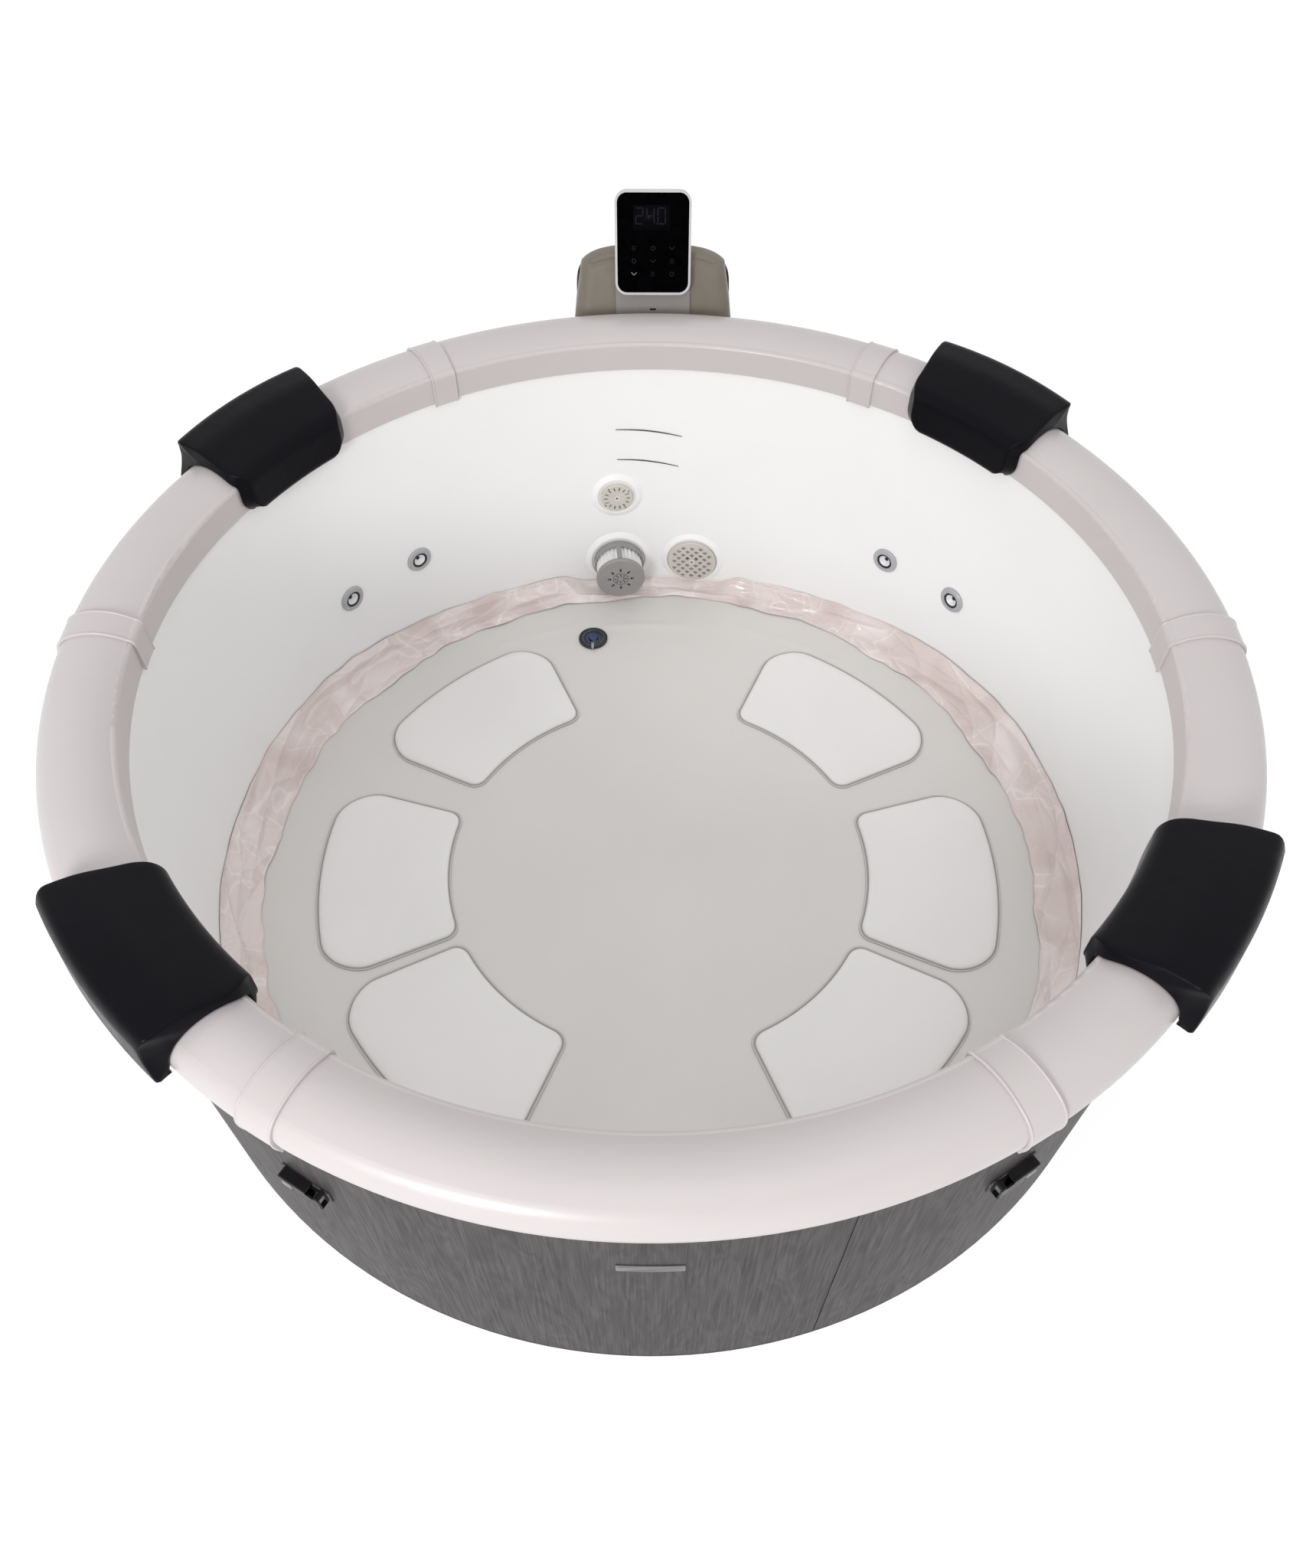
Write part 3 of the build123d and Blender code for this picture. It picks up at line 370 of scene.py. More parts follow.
def pad_finish():
    """The liner's vinyl over foam, with painted shade along the weld groove near the floor."""
    finish = Finish("pad_vinyl", 0.48, sheen_weight=0.08)
    cloud = finish.noise(320 * mm, 3)
    height = finish.node("ShaderNodeSeparateXYZ", {0: finish.place}).outputs[2]
    # Painted shade: darker towards the floor, along the weld groove round the pad's foot
    lit = finish.span(height, 0, 1, floor_top + pad_painted_shade_full, floor_top + pad_painted_shade_end)
    tone = finish.maths("MULTIPLY", lit, finish.span(cloud, 0.9, 1.0))
    finish.feed(
        "Base Color",
        finish.tones(
            tone, (0, seen(168, 166, 164)), (0.5, seen(218, 216, 214)), (0.9, seen(236, 234, 233)), (1, seen(241, 239, 238))
        ),
    )
    finish.feed("Roughness", finish.span(finish.noise(90 * mm), 0.42, 0.54))
    finish.bump(finish.noise(150 * mm, 2), 1.5 * mm)
    finish.bump(finish.cells(1.6 * mm, "SMOOTH_F1"), 0.03 * mm)
    return finish.material


def band_finish():
    """Thin satin film in clouds of pink, crossed by thin painted highlight lines."""
    finish = Finish("band_film", 0.3, coat_weight=0.6, coat_roughness=0.12, sheen_weight=0.1)
    cloud = finish.noise(130 * mm, 1, distortion=0.8)
    finish.feed(
        "Base Color",
        finish.tones(
            cloud,
            (0.3, seen(216, 200, 196)),
            # Painted highlights: a thin bright line where the cloud crosses its middle, for the light along the
            # film's creases
            (0.485, seen(227, 214, 210)),
            (0.5, seen(238, 229, 226)),
            (0.515, seen(227, 214, 210)),
            (0.7, seen(235, 225, 223)),
        ),
    )
    finish.feed("Roughness", finish.span(finish.noise(60 * mm), 0.24, 0.36))
    finish.bump(finish.noise(70 * mm, 2), 0.8 * mm)
    return finish.material


def skirt_finish():
    """Grey timber print with its grain upright: broad figure, fine streaks and pores."""
    finish = Finish("skirt_timber", 0.5, specular_ior_level=0.15)
    flat = finish.around(skirt_radius)
    figure = finish.noise(60 * mm, 3, finish.stretched((1.0, 1.0, 0.16), flat), 0.7)
    rings = finish.maths("SINE", finish.maths("MULTIPLY", figure, 58.0))
    streaks = finish.noise(3.6 * mm, 5, finish.stretched((1.0, 1.0, 0.022), flat), 0.2)
    pores = finish.noise(1.2 * mm, 2, finish.stretched((1.0, 1.0, 0.02), flat))
    grain = finish.maths("ADD", finish.maths("MULTIPLY", rings, 0.07), streaks)
    clouds = finish.maths("MULTIPLY", finish.noise(90 * mm, 2, finish.stretched((1, 1, 0.2), flat)), 0.26)
    grain = finish.maths("ADD", grain, clouds)
    grain = finish.maths("ADD", grain, finish.maths("MULTIPLY", pores, 0.3))
    finish.feed(
        "Base Color",
        finish.tones(
            grain,
            (0.4, seen(50, 46, 47)),
            (0.7, seen(63, 59, 60)),
            (0.85, seen(69, 65, 66)),
            (1.0, seen(76, 72, 73)),
        ),
    )
    finish.feed("Roughness", finish.span(grain, 0.56, 0.44, 0.5, 1.0))
    finish.bump(grain, 0.3 * mm)
    return finish.material


def foam_finish(name, colour, roughness, **settings):
    """Closed-cell foam with a smooth skin."""
    finish = Finish(name, roughness, **settings)
    cloud = finish.noise(50 * mm, 3)
    finish.feed("Base Color", finish.tones(cloud, (0.3, shade(colour, 0.85)), (0.7, shade(colour, 1.15))))
    finish.feed("Roughness", finish.span(finish.noise(18 * mm), roughness - 0.05, roughness + 0.05))
    finish.bump(finish.cells(0.9 * mm, "SMOOTH_F1"), 0.05 * mm)
    finish.bump(finish.noise(40 * mm, 2), 0.8 * mm)
    return finish.material


def metal_finish(name, colour, roughness, metallic):
    """Coated or brushed metal with fine scratches along it."""
    finish = Finish(name, roughness, metallic=metallic)
    streaks = finish.noise(3 * mm, 4, finish.stretched((1.0, 1.0, 0.1)))
    finish.feed("Base Color", finish.tones(streaks, (0.3, shade(colour, 0.85)), (0.7, shade(colour, 1.1))))
    finish.feed("Roughness", finish.span(streaks, roughness * 0.8, roughness * 1.3))
    finish.bump(streaks, 0.04 * mm)
    return finish.material


def woven_finish(name, colour, thread, roughness=0.8):
    """Plain weave: two sets of threads that cross, with painted shade where the weave sinks."""
    finish = Finish(name, roughness, sheen_weight=0.3)
    flat = finish.around(skirt_radius)
    parts = finish.node("ShaderNodeSeparateXYZ", {0: flat}).outputs
    pitch = 2 * math.pi / thread
    warp = finish.maths("SINE", finish.maths("MULTIPLY", parts[0], pitch))
    weft = finish.maths("SINE", finish.maths("MULTIPLY", parts[2], pitch))
    weave = finish.maths("MULTIPLY", warp, weft)
    # Painted shade: darker where the weave's bump is low
    finish.feed("Base Color", finish.tones(finish.span(weave, 0, 1, -1, 1), (0, shade(colour, 0.7)), (1, colour)))
    finish.bump(weave, thread / 4)
    return finish.material


def paper_finish():
    """Pleated filter paper."""
    finish = Finish("filter_paper", 0.85)
    fibres = finish.noise(4 * mm, 5)
    finish.feed("Base Color", finish.tones(fibres, (0.3, seen(226, 226, 226)), (0.7, seen(243, 243, 244))))
    finish.bump(finish.noise(0.8 * mm, 3), 0.08 * mm)
    return finish.material


def felt_finish():
    """Needled felt of the ground mat."""
    finish = Finish("mat_felt", 0.9, sheen_weight=0.4)
    fibres = finish.noise(2.5 * mm, 6, distortion=2.0)
    finish.feed("Base Color", finish.tones(fibres, (0.3, seen(52, 53, 56)), (0.7, seen(84, 85, 88))))
    finish.bump(fibres, 0.5 * mm)
    return finish.material


def glass_finish():
    """Black front glass, with a deep gloss and faint smears."""
    finish = Finish("remote_glass", 0.05, specular_ior_level=0.01)
    smears = finish.noise(30 * mm, 4, distortion=1.5)
    finish.feed("Base Color", finish.tones(smears, (0.3, seen(0, 0, 1)), (0.7, seen(3, 3, 4))))
    finish.feed("Roughness", finish.span(smears, 0.06, 0.14))
    finish.bump(finish.noise(25 * mm, 2), 0.02 * mm)
    return finish.material


def drain_finish(name, centre, radius):
    """Moulded plastic with rings of navy and grey round a centre."""
    finish = Finish(name, 0.3)
    share = finish.maths("DIVIDE", finish.distance(centre), radius)
    navy, dark, grey = seen(44, 56, 102), seen(26, 29, 38), seen(58, 65, 76)
    finish.feed(
        "Base Color",
        finish.tones(
            share, (0.3, navy), (0.36, dark), (0.42, grey), (0.5, navy), (0.56, dark), (0.7, grey), (0.84, dark)
        ),
    )
    finish.feed("Roughness", finish.span(finish.noise(8 * mm), 0.24, 0.38))
    finish.bump(finish.maths("SINE", finish.maths("MULTIPLY", share, 7 * math.pi)), 0.5 * mm)
    return finish.material


finishes = {
    "rim": rim_finish(),
    "wall": vinyl_finish("wall_vinyl", seen(247, 247, 247), seen(244, 244, 244), 0.42),
    "floor": vinyl_finish("floor_vinyl", seen(223, 220, 217), seen(218, 215, 212), 0.45),
    "pad": pad_finish(),
    "band": band_finish(),
    "skirt": skirt_finish(),
    "headrest": foam_finish(
        "headrest_foam", seen(6, 5, 12), 0.36, specular_ior_level=0.1, sheen_weight=0.08, sheen_roughness=0.35
    ),
    "core": foam_finish("core_foam", seen(205, 206, 210), 0.8, specular_ior_level=0.12),
    "steel": metal_finish("hoop_steel", seen(120, 122, 126), 0.4, 0.9),
    "fitting": moulded("fitting_plastic", seen(232, 229, 228), 0.35),
    "grille": moulded("grille_plastic", seen(204, 199, 192), 0.42),
    "nut": moulded("nut_plastic", seen(66, 68, 72), 0.45),
    "filter": moulded("filter_plastic", seen(149, 147, 146), 0.4),
    "paper": paper_finish(),
    "jet": moulded("jet_plastic", seen(172, 173, 177), 0.3),
    "nozzle": moulded("nozzle_plastic", seen(226, 226, 228), 0.3),
    "hose": moulded("hose_plastic", seen(188, 190, 194), 0.45),
    "buckle": moulded("buckle_plastic", seen(14, 14, 17), 0.4, specular_ior_level=0.3),
    "housing": moulded("housing_plastic", seen(121, 114, 103), 0.46, 1.1 * mm, 0.05 * mm, specular_ior_level=0.3),
    "base": moulded("base_plastic", seen(92, 90, 88), 0.5, 1.1 * mm, 0.06 * mm),
    "dock": moulded("dock_plastic", seen(136, 131, 127), 0.35, specular_ior_level=0.4),
    "remote": moulded("remote_plastic", seen(196, 195, 196), 0.3),
    "glass": glass_finish(),
    "pump": moulded("pump_plastic", seen(44, 46, 50), 0.5),
    "heater": metal_finish("heater_steel", seen(168, 170, 174), 0.3, 1.0),
    "webbing": woven_finish("strap_webbing", seen(38, 38, 41), 2.4 * mm),
    "mat": felt_finish(),
    # Near black, for painted shade in gaps, holes, bores and slots
    "gap": moulded("painted_shade_black", seen(16, 16, 18), 0.6),
    "ink": moulded("line_ink", seen(70, 66, 68), 0.6),
    "badge": moulded("plate_grey", seen(112, 109, 110), 0.35, metallic=0.3),
    "window": moulded("window_grey", seen(136, 136, 140), 0.4),
    "tab": moulded("pull_tab", seen(160, 164, 186), 0.3),
    "panel": moulded("display_panel", seen(9, 9, 13), 0.3, specular_ior_level=0.02),
    "display": moulded("display_print", seen(34, 34, 42), 0.4, specular_ior_level=0.05),
    "display_bright": moulded("display_key", seen(118, 122, 128), 0.4),
}

# Finish of each CAD node that stays, by the start of its name
node_finishes = {
    "rim_segment": "rim",
    "rim_joint_cover": "rim",
    "wall_core": "core",
    "base_board": "core",
    "frame_bars": "steel",
    "bar_splices": "steel",
    "skirt_panel": "skirt",
    "port_fittings": "fitting",
    "union_nuts": "nut",
    "filter_collar": "filter",
    "filter_cartridge": "paper",
    "filter_cap": "filter",
    "outlet_grille": "grille",
    "air_grille": "grille",
    "jet_bodies": "jet",
    "jet_nozzle": "nozzle",
    "jet_hoses": "hose",
    "buckle_socket": "buckle",
    "control_base": "base",
    "cord_gland": "nut",
    "circulation_pump": "pump",
    "heater_tube": "heater",
    "air_blower": "pump",
    "dock_panel": "dock",
    "remote_case": "remote",
    "remote_glass": "glass",
}


def finish_nodes():
    """Gives each CAD node its finish."""
    for name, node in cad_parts.items():
        for start, finish in node_finishes.items():
            if name.startswith(start):
                node.data.materials.clear()
                node.data.materials.append(finishes[finish])
    drain_low, drain_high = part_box("drain_body")
    plug_low, plug_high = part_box("drain_plug")
    flange = 33.5 * mm
    centre = (plug_low.x + plug_high.x) / 2, drain_low.y + flange, drain_high.z
    for name in ("drain_body", "drain_plug"):
        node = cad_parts[name]
        node.data.materials.clear()
        node.data.materials.append(drain_finish(f"{name}_navy", centre, flange))


# Rim
rim_ridge_drop = 16 * mm
rim_ridge_round = 8 * mm
rim_crown_share = 0.48
rim_shoulder_in = 21 * mm
rim_shoulder_drop = 8 * mm
rim_widest_drop = 41 * mm
rim_tuck = 7 * mm
cover_width = 57 * mm
cover_wall = 3.5 * mm
cover_reach = 4.5 * mm
bead_radius = 1.9 * mm
cover_count = 6


def rim_line(grow):
    """The rim's outline from its inner foot over the top to its outer foot, grown outward."""
    ridge = rim_top - rim_ridge_drop
    foot = Vector((rim_inner, lip_low))
    inner_top = Vector((rim_inner, ridge - rim_ridge_round))
    ridge_end = (rim_inner + rim_ridge_round, ridge)
    crown = (rim_inner + rim_width * rim_crown_share, rim_top)
    shoulder = (rim_radius - rim_shoulder_in, rim_top - rim_shoulder_drop)
    widest = (rim_radius, rim_top - rim_widest_drop)
    outer_foot = (rim_radius - rim_tuck, lip_low)
    points = [foot] + evenly([foot, inner_top], 10 * mm, closed=False)[1:]
    points += arc(inner_top, (0, 1), ridge_end, 6)[0]
    heading = heading_through(ridge_end, crown, shoulder)
    for start, end, steps in ((ridge_end, shoulder, 16), (shoulder, widest, 14), (widest, outer_foot, 8)):
        added, heading = arc(start, heading, end, steps)
        points += added
    grown = []
    for i, point in enumerate(points):
        along = (points[min(i + 1, len(points) - 1)] - points[max(i - 1, 0)]).normalized()
        grown.append(point + Vector((-along.y, along.x)) * grow)
    return grown


def tube(name, path, sideways, radius, finish, sides=8, **more):
    """A round bead along a path of points, with a sideways direction for each."""
    rings = []
    for i, (point, side) in enumerate(zip(path, sideways)):
        along = (path[min(i + 1, len(path) - 1)] - path[max(i - 1, 0)]).normalized()
        up = along.cross(side).normalized()
        turns = [2 * math.pi * k / sides for k in range(sides)]
        rings.append([point + radius * (math.cos(t) * side + math.sin(t) * up) for t in turns])
    return loft(name, rings, finish, **more)


def cover_beads():
    """The rolled edges of the joint covers."""
    line = rim_line(fit_gap + cover_wall - bead_radius / 3)
    line = [Vector((line[0].x, lip_low - cover_reach))] + line + [Vector((line[-1].x, lip_low - cover_reach))]
    half = math.degrees((cover_width / 2 - bead_radius) / rim_radius)
    for i in range(cover_count):
        middle = full_turn / cover_count * (i + 1 / 2)
        for side, end in ((-1, "a"), (1, "b")):
            angle = middle + side * half
            path = [spot(angle, p.x, p.y) for p in line]
            sideways = [about(angle, (1, 0, 0))] * len(path)
            tube(f"rim_joint_bead_{i + 1}{end}", path, sideways, bead_radius, finishes["rim"], slot="rim_plastic")


# Headrests
rest_places = {"front_left": -132.0, "rear_left": -54.3, "rear_right": 45.7, "front_right": 125.8}
rest_half_angle = 9.3
rest_inner_foam = 20 * mm
rest_inner_low = lip_low - 5 * mm
rest_outer_low = rim_top - 51 * mm
rest_inner_rise = 15 * mm
rest_middle_rise = 34 * mm
rest_outer_rise = 38 * mm
rest_gap = 0.6 * mm
rest_edge = 4.5 * mm
rest_crown = 4 * mm
rest_slant_share = 0.12
rest_outer_corner = 28 * mm
rest_inner_corner = 36 * mm
rest_plan_corner = 56 * mm
rest_plan_start = 15 * mm
rest_skew = 10 * mm
rest_points = 60


def spaced(points, count):
    """A line through the same places with a number of points at even steps."""
    runs = [0.0]
    for start, end in zip(points, points[1:]):
        runs.append(runs[-1] + (end - start).length)
    found, k = [], 0
    for i in range(count):
        run = runs[-1] * i / (count - 1)
        while k < len(points) - 2 and runs[k + 1] < run:
            k += 1
        share = (run - runs[k]) / (runs[k + 1] - runs[k])
        found.append(points[k].lerp(points[k + 1], share))
    return found


def headrest_section():
    """The headrest cut across: its outer line from inner foot to outer foot, then back along the rim."""
    inner_back = rim_inner - rest_gap
    inner_face = inner_back - rest_inner_foam
    outer_back = rim_radius + 3 * mm
    outer_face = outer_back + 23 * mm
    widest = rim_top - rim_widest_drop
    top = [
        ((inner_back, rest_inner_low), 3 * mm),
        ((inner_face, rest_inner_low), 8 * mm),
        ((inner_face, rim_top), 26 * mm),
        ((rim_inner + 20 * mm, rim_top + rest_inner_rise), 60 * mm),
        ((rim_inner + 74 * mm, rim_top + rest_middle_rise), 110 * mm),
        ((outer_face - 16 * mm, rim_top + rest_outer_rise), 14 * mm),
        ((outer_face - 6 * mm, rim_top + rest_outer_rise / 2), 16 * mm),
        ((outer_face, rest_outer_low), 6 * mm),
        ((outer_back, rest_outer_low), 3 * mm),
    ]
    outline = rounded([c for c, _ in top], [r for _, r in top])
    under = [p for p in reversed(rim_line(rest_gap)) if p.y > widest]
    under = [outline[-1], Vector((outer_back, widest))] + under + [Vector((inner_back, widest)), outline[0]]
    return spaced(outline, rest_points) + spaced(under, rest_points + 2)[1:-1]


def corner_pull(depth, radius):
    """How far a rounded corner draws in at a depth from its edge."""
    inside = radius - depth
    return radius - math.sqrt(max(0, radius**2 - inside**2)) if inside > 0 else 0


def headrest(name, angle):
    """A foam saddle with rounded ends."""
    section = headrest_section()
    normals = outward(section)
    if sum(p.cross(q) for p, q in zip(section, section[1:] + section[:1])) < 0:
        normals = [-n for n in normals]
    innermost, outermost = (pick(p.x for p in section) for pick in (min, max))
    forward = math.copysign(rest_skew, angle)
    half_turn = math.radians(rest_half_angle)
    stations = [(0.0, i / 12, 0.0) for i in range(13)]
    stations += [(rest_edge * (1 - math.cos(a)), 1.0, rest_edge * math.sin(a)) for a in (0.4, 0.8, 1.2, math.pi / 2)]
    rings = []
    both = [(-1, s) for s in reversed(stations)] + [(1, s) for s in stations[1:]]
    for side, (inset, share, beyond) in both:
        ring = []
        for point, normal in zip(section, normals):
            rise = smooth(point.y, rest_outer_low, rim_top)
            pull = corner_pull(outermost - point.x, rest_outer_corner) * rise
            pull += corner_pull(point.x - innermost + rest_plan_start, rest_plan_corner)
            if point.x < rim_inner:
                pull += corner_pull(point.y - rest_inner_low, rest_inner_corner)
            above = max(0.0, point.y - rim_top + rest_inner_rise)
            reach = half_turn * point.x - pull - rest_edge - rest_slant_share * above
            place = side * (reach * share + beyond) + forward * (1 - smooth(point.x, rim_inner, rim_radius))
            inside = point - normal * inset
            inside.y -= rest_crown * share**2 * smooth(point.y, rim_top, rim_top + rest_outer_rise)
            ring.append(spot(angle + math.degrees(place / point.x), inside.x, inside.y))
        rings.append(ring)
    count = len(section)
    points = [p for ring in rings for p in ring]
    faces = quads(len(rings), count)
    last = len(points) - count
    for k in range(rest_points - 1):
        cap_hole_shade = (k, k + 1, count - 2 - k, count - 1 - k)
        faces += [tuple(reversed(cap_hole_shade)), tuple(last + i for i in cap_hole_shade)]
    finish = finishes["headrest"]
    piece = mesh_object(
        f"headrest_foam_{name}", points, faces, finish, body=f"headrest_{name}", slot="headrest_foam"
    )
    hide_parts(f"headrest_{name}")


# Seat pads
pad_half_angle = 20.5
pad_inner_radius = 418 * mm
pad_outer_radius = 684 * mm
pad_outer_corner = 66 * mm
pad_inner_corner = 46 * mm
pad_shift = 14 * mm
pad_height = 9 * mm
pad_weld = 7 * mm
pad_edge = 15 * mm


def pad_outline():
    """A ring sector's outline, as radius times angle and radius."""
    turn = math.radians(pad_half_angle)
    inner, outer = pad_inner_radius * turn, pad_outer_radius * turn
    corners = [
        (-inner, pad_inner_radius),
        (inner, pad_inner_radius),
        (outer, pad_outer_radius),
        (-outer, pad_outer_radius),
    ]
    radii = [pad_inner_corner, pad_inner_corner, pad_outer_corner, pad_outer_corner]
    return evenly(rounded(corners, radii, 10), 9 * mm)


def seat_pad(index, angle):
    """A foam pad under vinyl: a thin welded edge, a rolled side and a gentle crown."""
    outline = pad_outline()
    inward = [-n for n in outward(outline)]
    middle = Vector((0, (pad_inner_radius + pad_outer_radius) / 2))
    bottom = floor_top - liner_wall / 2
    steps = [(0.0, 0.0), (0.0, 0.18), (0.3, 0.24), (0.8, 0.22), (1.0, 0.06), (1.6, 0.05), (1.9, 0.4)]
    steps += [(2.5, 0.66), (4.0, 0.84), (6.5, 0.93)]
    rings = [[(p, bottom) for p in outline]]
    for run, rise in steps:
        inset = run * pad_weld / 2
        rings.append([(p + n * inset, floor_top + pad_height * rise) for p, n in zip(outline, inward)])
    last = [p for p, _ in rings[-1]]
    for share in (0.12, 0.26, 0.42, 0.6, 0.8):
        crown = pad_height * (0.93 + 0.07 * math.sin(math.pi / 2 * min(1, share * 1.6)))
        rings.append([(p.lerp(middle, share), floor_top + crown) for p in last])
    placed = []
    for ring in rings:
        row = []
        for flat, height in ring:
            point = spot(angle + math.degrees(flat.x / flat.y), flat.y, height)
            point.x += pad_shift
            if height > floor_top + pad_height / 2:
                point.z += 0.9 * mm * ripple(point, 90 * mm)
            row.append(point)
        placed.append(row)
    piece = loft(f"seat_pad_vinyl_{index}", placed, finishes["pad"], slot="pad_vinyl")
    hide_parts(f"seat_pad_{index}")


# Liner: wall, floor and the loose band between them
band_top_low = 74 * mm
band_top_high = 114 * mm
band_fitting_top = 51 * mm
band_columns = 1440
band_rows = 40
band_spread = 2.4
band_width = 125 * mm
band_lift = 0.8 * mm
crease_rise = 2.4 * mm
crease_width = 8 * mm


def smooth(value, low, high):
    share = max(0.0, min(1.0, (value - low) / (high - low)))
    return share * share * (3 - 2 * share)


def near_fittings(angle, start, end):
    """One beside the filter and the outlet, falling to zero away from them."""
    return 1 - smooth(abs(abs(angle) - 6), start, end)


def band_edges(angle):
    """The height of the band's upper edge on the wall and the radius of its lower edge on the floor."""
    turn = math.radians(angle)
    way = Vector((math.sin(turn), math.cos(turn), 0))
    side = smooth(abs(angle), 20, 70)
    high = band_top_low + (band_top_high - band_top_low) * side
    right = smooth(angle, 85, 125)
    high += 10 * mm * ripple(way, 0.22) + 5 * mm * ripple(way, 0.06) - 14 * mm * right
    near = near_fittings(angle, 4.5, 9)
    high = high * (1 - near) + band_fitting_top * near
    foot = liner_inner - (56 + 5 * side - 7 * right) * mm + 14 * mm * ripple(way + Vector((0, 0, 5)), 0.25)
    foot += 8 * mm * ripple(way + Vector((0, 0, 9)), 0.06)
    return high, foot


def fold_net():
    """Loose points over the flat band, each a length along it, a width across it and how far it stands off."""
    chance = random.Random(11)
    length = 2 * math.pi * liner_inner
    points = []
    for share, spacing, low, high in (
        (0.0, 150 * mm, 0, 2 * mm),
        (0.2, 130 * mm, -6 * mm, 14 * mm),
        (0.45, 105 * mm, -10 * mm, 20 * mm),
        (0.72, 90 * mm, -5 * mm, 19 * mm),
        (1.0, 80 * mm, 0, 3 * mm),
    ):
        count = round(length / spacing)
        for i in range(count):
            along = (i + chance.uniform(-0.35, 0.35)) * length / count
            across = share if share in (0.0, 1.0) else share + chance.uniform(-0.1, 0.1)
            stand = low if (i + chance.randrange(3)) % 2 else high
            points.append((along, across, stand * chance.uniform(0.55, 1.0)))
    return points, length


def fold_heights():
    """How far each point of the band stands off: flat facets between the points of the net, softly creased."""
    net, length = fold_net()
    reach = 300 * mm
    wrapped = net + [(a + length, w, h) for a, w, h in net if a < reach]
    wrapped += [(a - length, w, h) for a, w, h in net if a > length - reach]
    flat = [Vector((a, w * band_width * band_spread)) for a, w, _ in wrapped]
    corners, _, facets, origin, _, _ = delaunay_2d_cdt(flat, [], [], 0, mm / 100)
    heights = [wrapped[source[0]][2] for source in origin]
    step, rise = length / band_columns, band_width * band_spread / (band_rows - 1)
    field = [[0.0] * band_columns for _ in range(band_rows)]
    ridges = [[0.0] * band_columns for _ in range(band_rows)]
    for facet in facets:
        a, b, c = (corners[k] for k in facet)
        lift = [heights[k] for k in facet]
        area = (b - a).cross(c - a)
        sides = (c - b).length, (a - c).length, (b - a).length
        first, last = min(a.x, b.x, c.x), max(a.x, b.x, c.x)
        for i in range(math.floor(first / step), math.ceil(last / step) + 1):
            for j in range(band_rows):
                here = Vector((i * step, j * rise))
                shares = [(b - here).cross(c - here) / area, (c - here).cross(a - here) / area]
                shares.append(1 - sum(shares))
                if min(shares) >= -mm:
                    field[j][i % band_columns] = sum(s * h for s, h in zip(shares, lift))
                    edge = min(s * abs(area) / side for s, side in zip(shares, sides))
                    ridges[j][i % band_columns] = crease_rise * (1 - smooth(edge, 0, crease_width))
    for _ in range(2):
        field = softened(field)
    return [[h + r for h, r in zip(*rows)] for rows in zip(field, softened(ridges))]


def softened(field):
    """Each value mixed with the four beside it."""
    rows, columns = len(field), len(field[0])
    mixed = []
    for j in range(rows):
        above, below = field[max(j - 1, 0)], field[min(j + 1, rows - 1)]
        row = field[j]
        mixed.append(
            [
                0.4 * row[i] + 0.15 * (row[i - 1] + row[(i + 1) % columns] + above[i] + below[i])
                for i in range(columns)
            ]
        )
    return mixed


def band_point(angle, share, stand):
    """A point of the band, from its upper edge at 0 to its lower edge at 1, standing off its slope."""
    high, foot = band_edges(angle)
    top = Vector((liner_inner + band_lift / 2, high))
    low = Vector((foot, floor_top - band_lift / 4))
    chord = low - top
    across = Vector((chord.y, -chord.x)).normalized()
    near = near_fittings(angle, 6, 10)
    hollow = 9 * mm * math.sin(math.pi * share)
    point = top.lerp(low, share) + across * (stand * (1 - 0.5 * near) - hollow * (1 - near))
    seated = smooth(min(share, 1 - share), 0, 0.03)
    point.x = min(point.x, top.x - 2 * band_lift * seated)
    point.y = max(point.y, low.y + band_lift * seated)
    return spot(angle, point.x, point.y)


def liner_band():
    """The crumpled film in the corner of the tub."""
    field = fold_heights()
    rows = []
    for j in range(band_rows):
        for i in range(band_columns):
            rows.append(band_point(full_turn * i / band_columns - 180, j / (band_rows - 1), field[j][i]))
    piece = mesh_object("liner_band_film", rows, quads(band_rows, band_columns), finishes["band"], slot="band_vinyl")
    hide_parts("liner_band")


def carve(piece, shapes):
    """Cuts closed shapes out of a piece, each given by the outlines of its two ends."""
    points, faces = [], []
    for first, last in shapes:
        count, base = len(first), len(points)
        points += [tuple(p) for p in first + last]
        faces += [tuple(base + k for k in face) for face in quads(2, count)]
        faces += [tuple(base + k for k in reversed(range(count))), tuple(base + count + k for k in range(count))]
    mesh = bpy.data.meshes.new("carving_tool")
    mesh.from_pydata(points, [], faces)
    turned = bmesh.new()
    turned.from_mesh(mesh)
    bmesh.ops.recalc_face_normals(turned, faces=turned.faces)
    turned.to_mesh(mesh)
    turned.free()
    tool = bpy.data.objects.new("carving_tool", mesh)
    bpy.context.scene.collection.objects.link(tool)
    cut = piece.modifiers.new("carve", "BOOLEAN")
    cut.operation = "DIFFERENCE"
    cut.solver = "EXACT"
    cut.object = tool
    settle(piece)
    bpy.data.objects.remove(tool)


def rod_ends(place, radius, start, end, sides=36):
    """The two end outlines of a round bar that stands on a place."""
    turns = [2 * math.pi * k / sides for k in range(sides)]
    return [[place.at(radius * math.cos(t), radius * math.sin(t), z) for t in turns] for z in (start, end)]


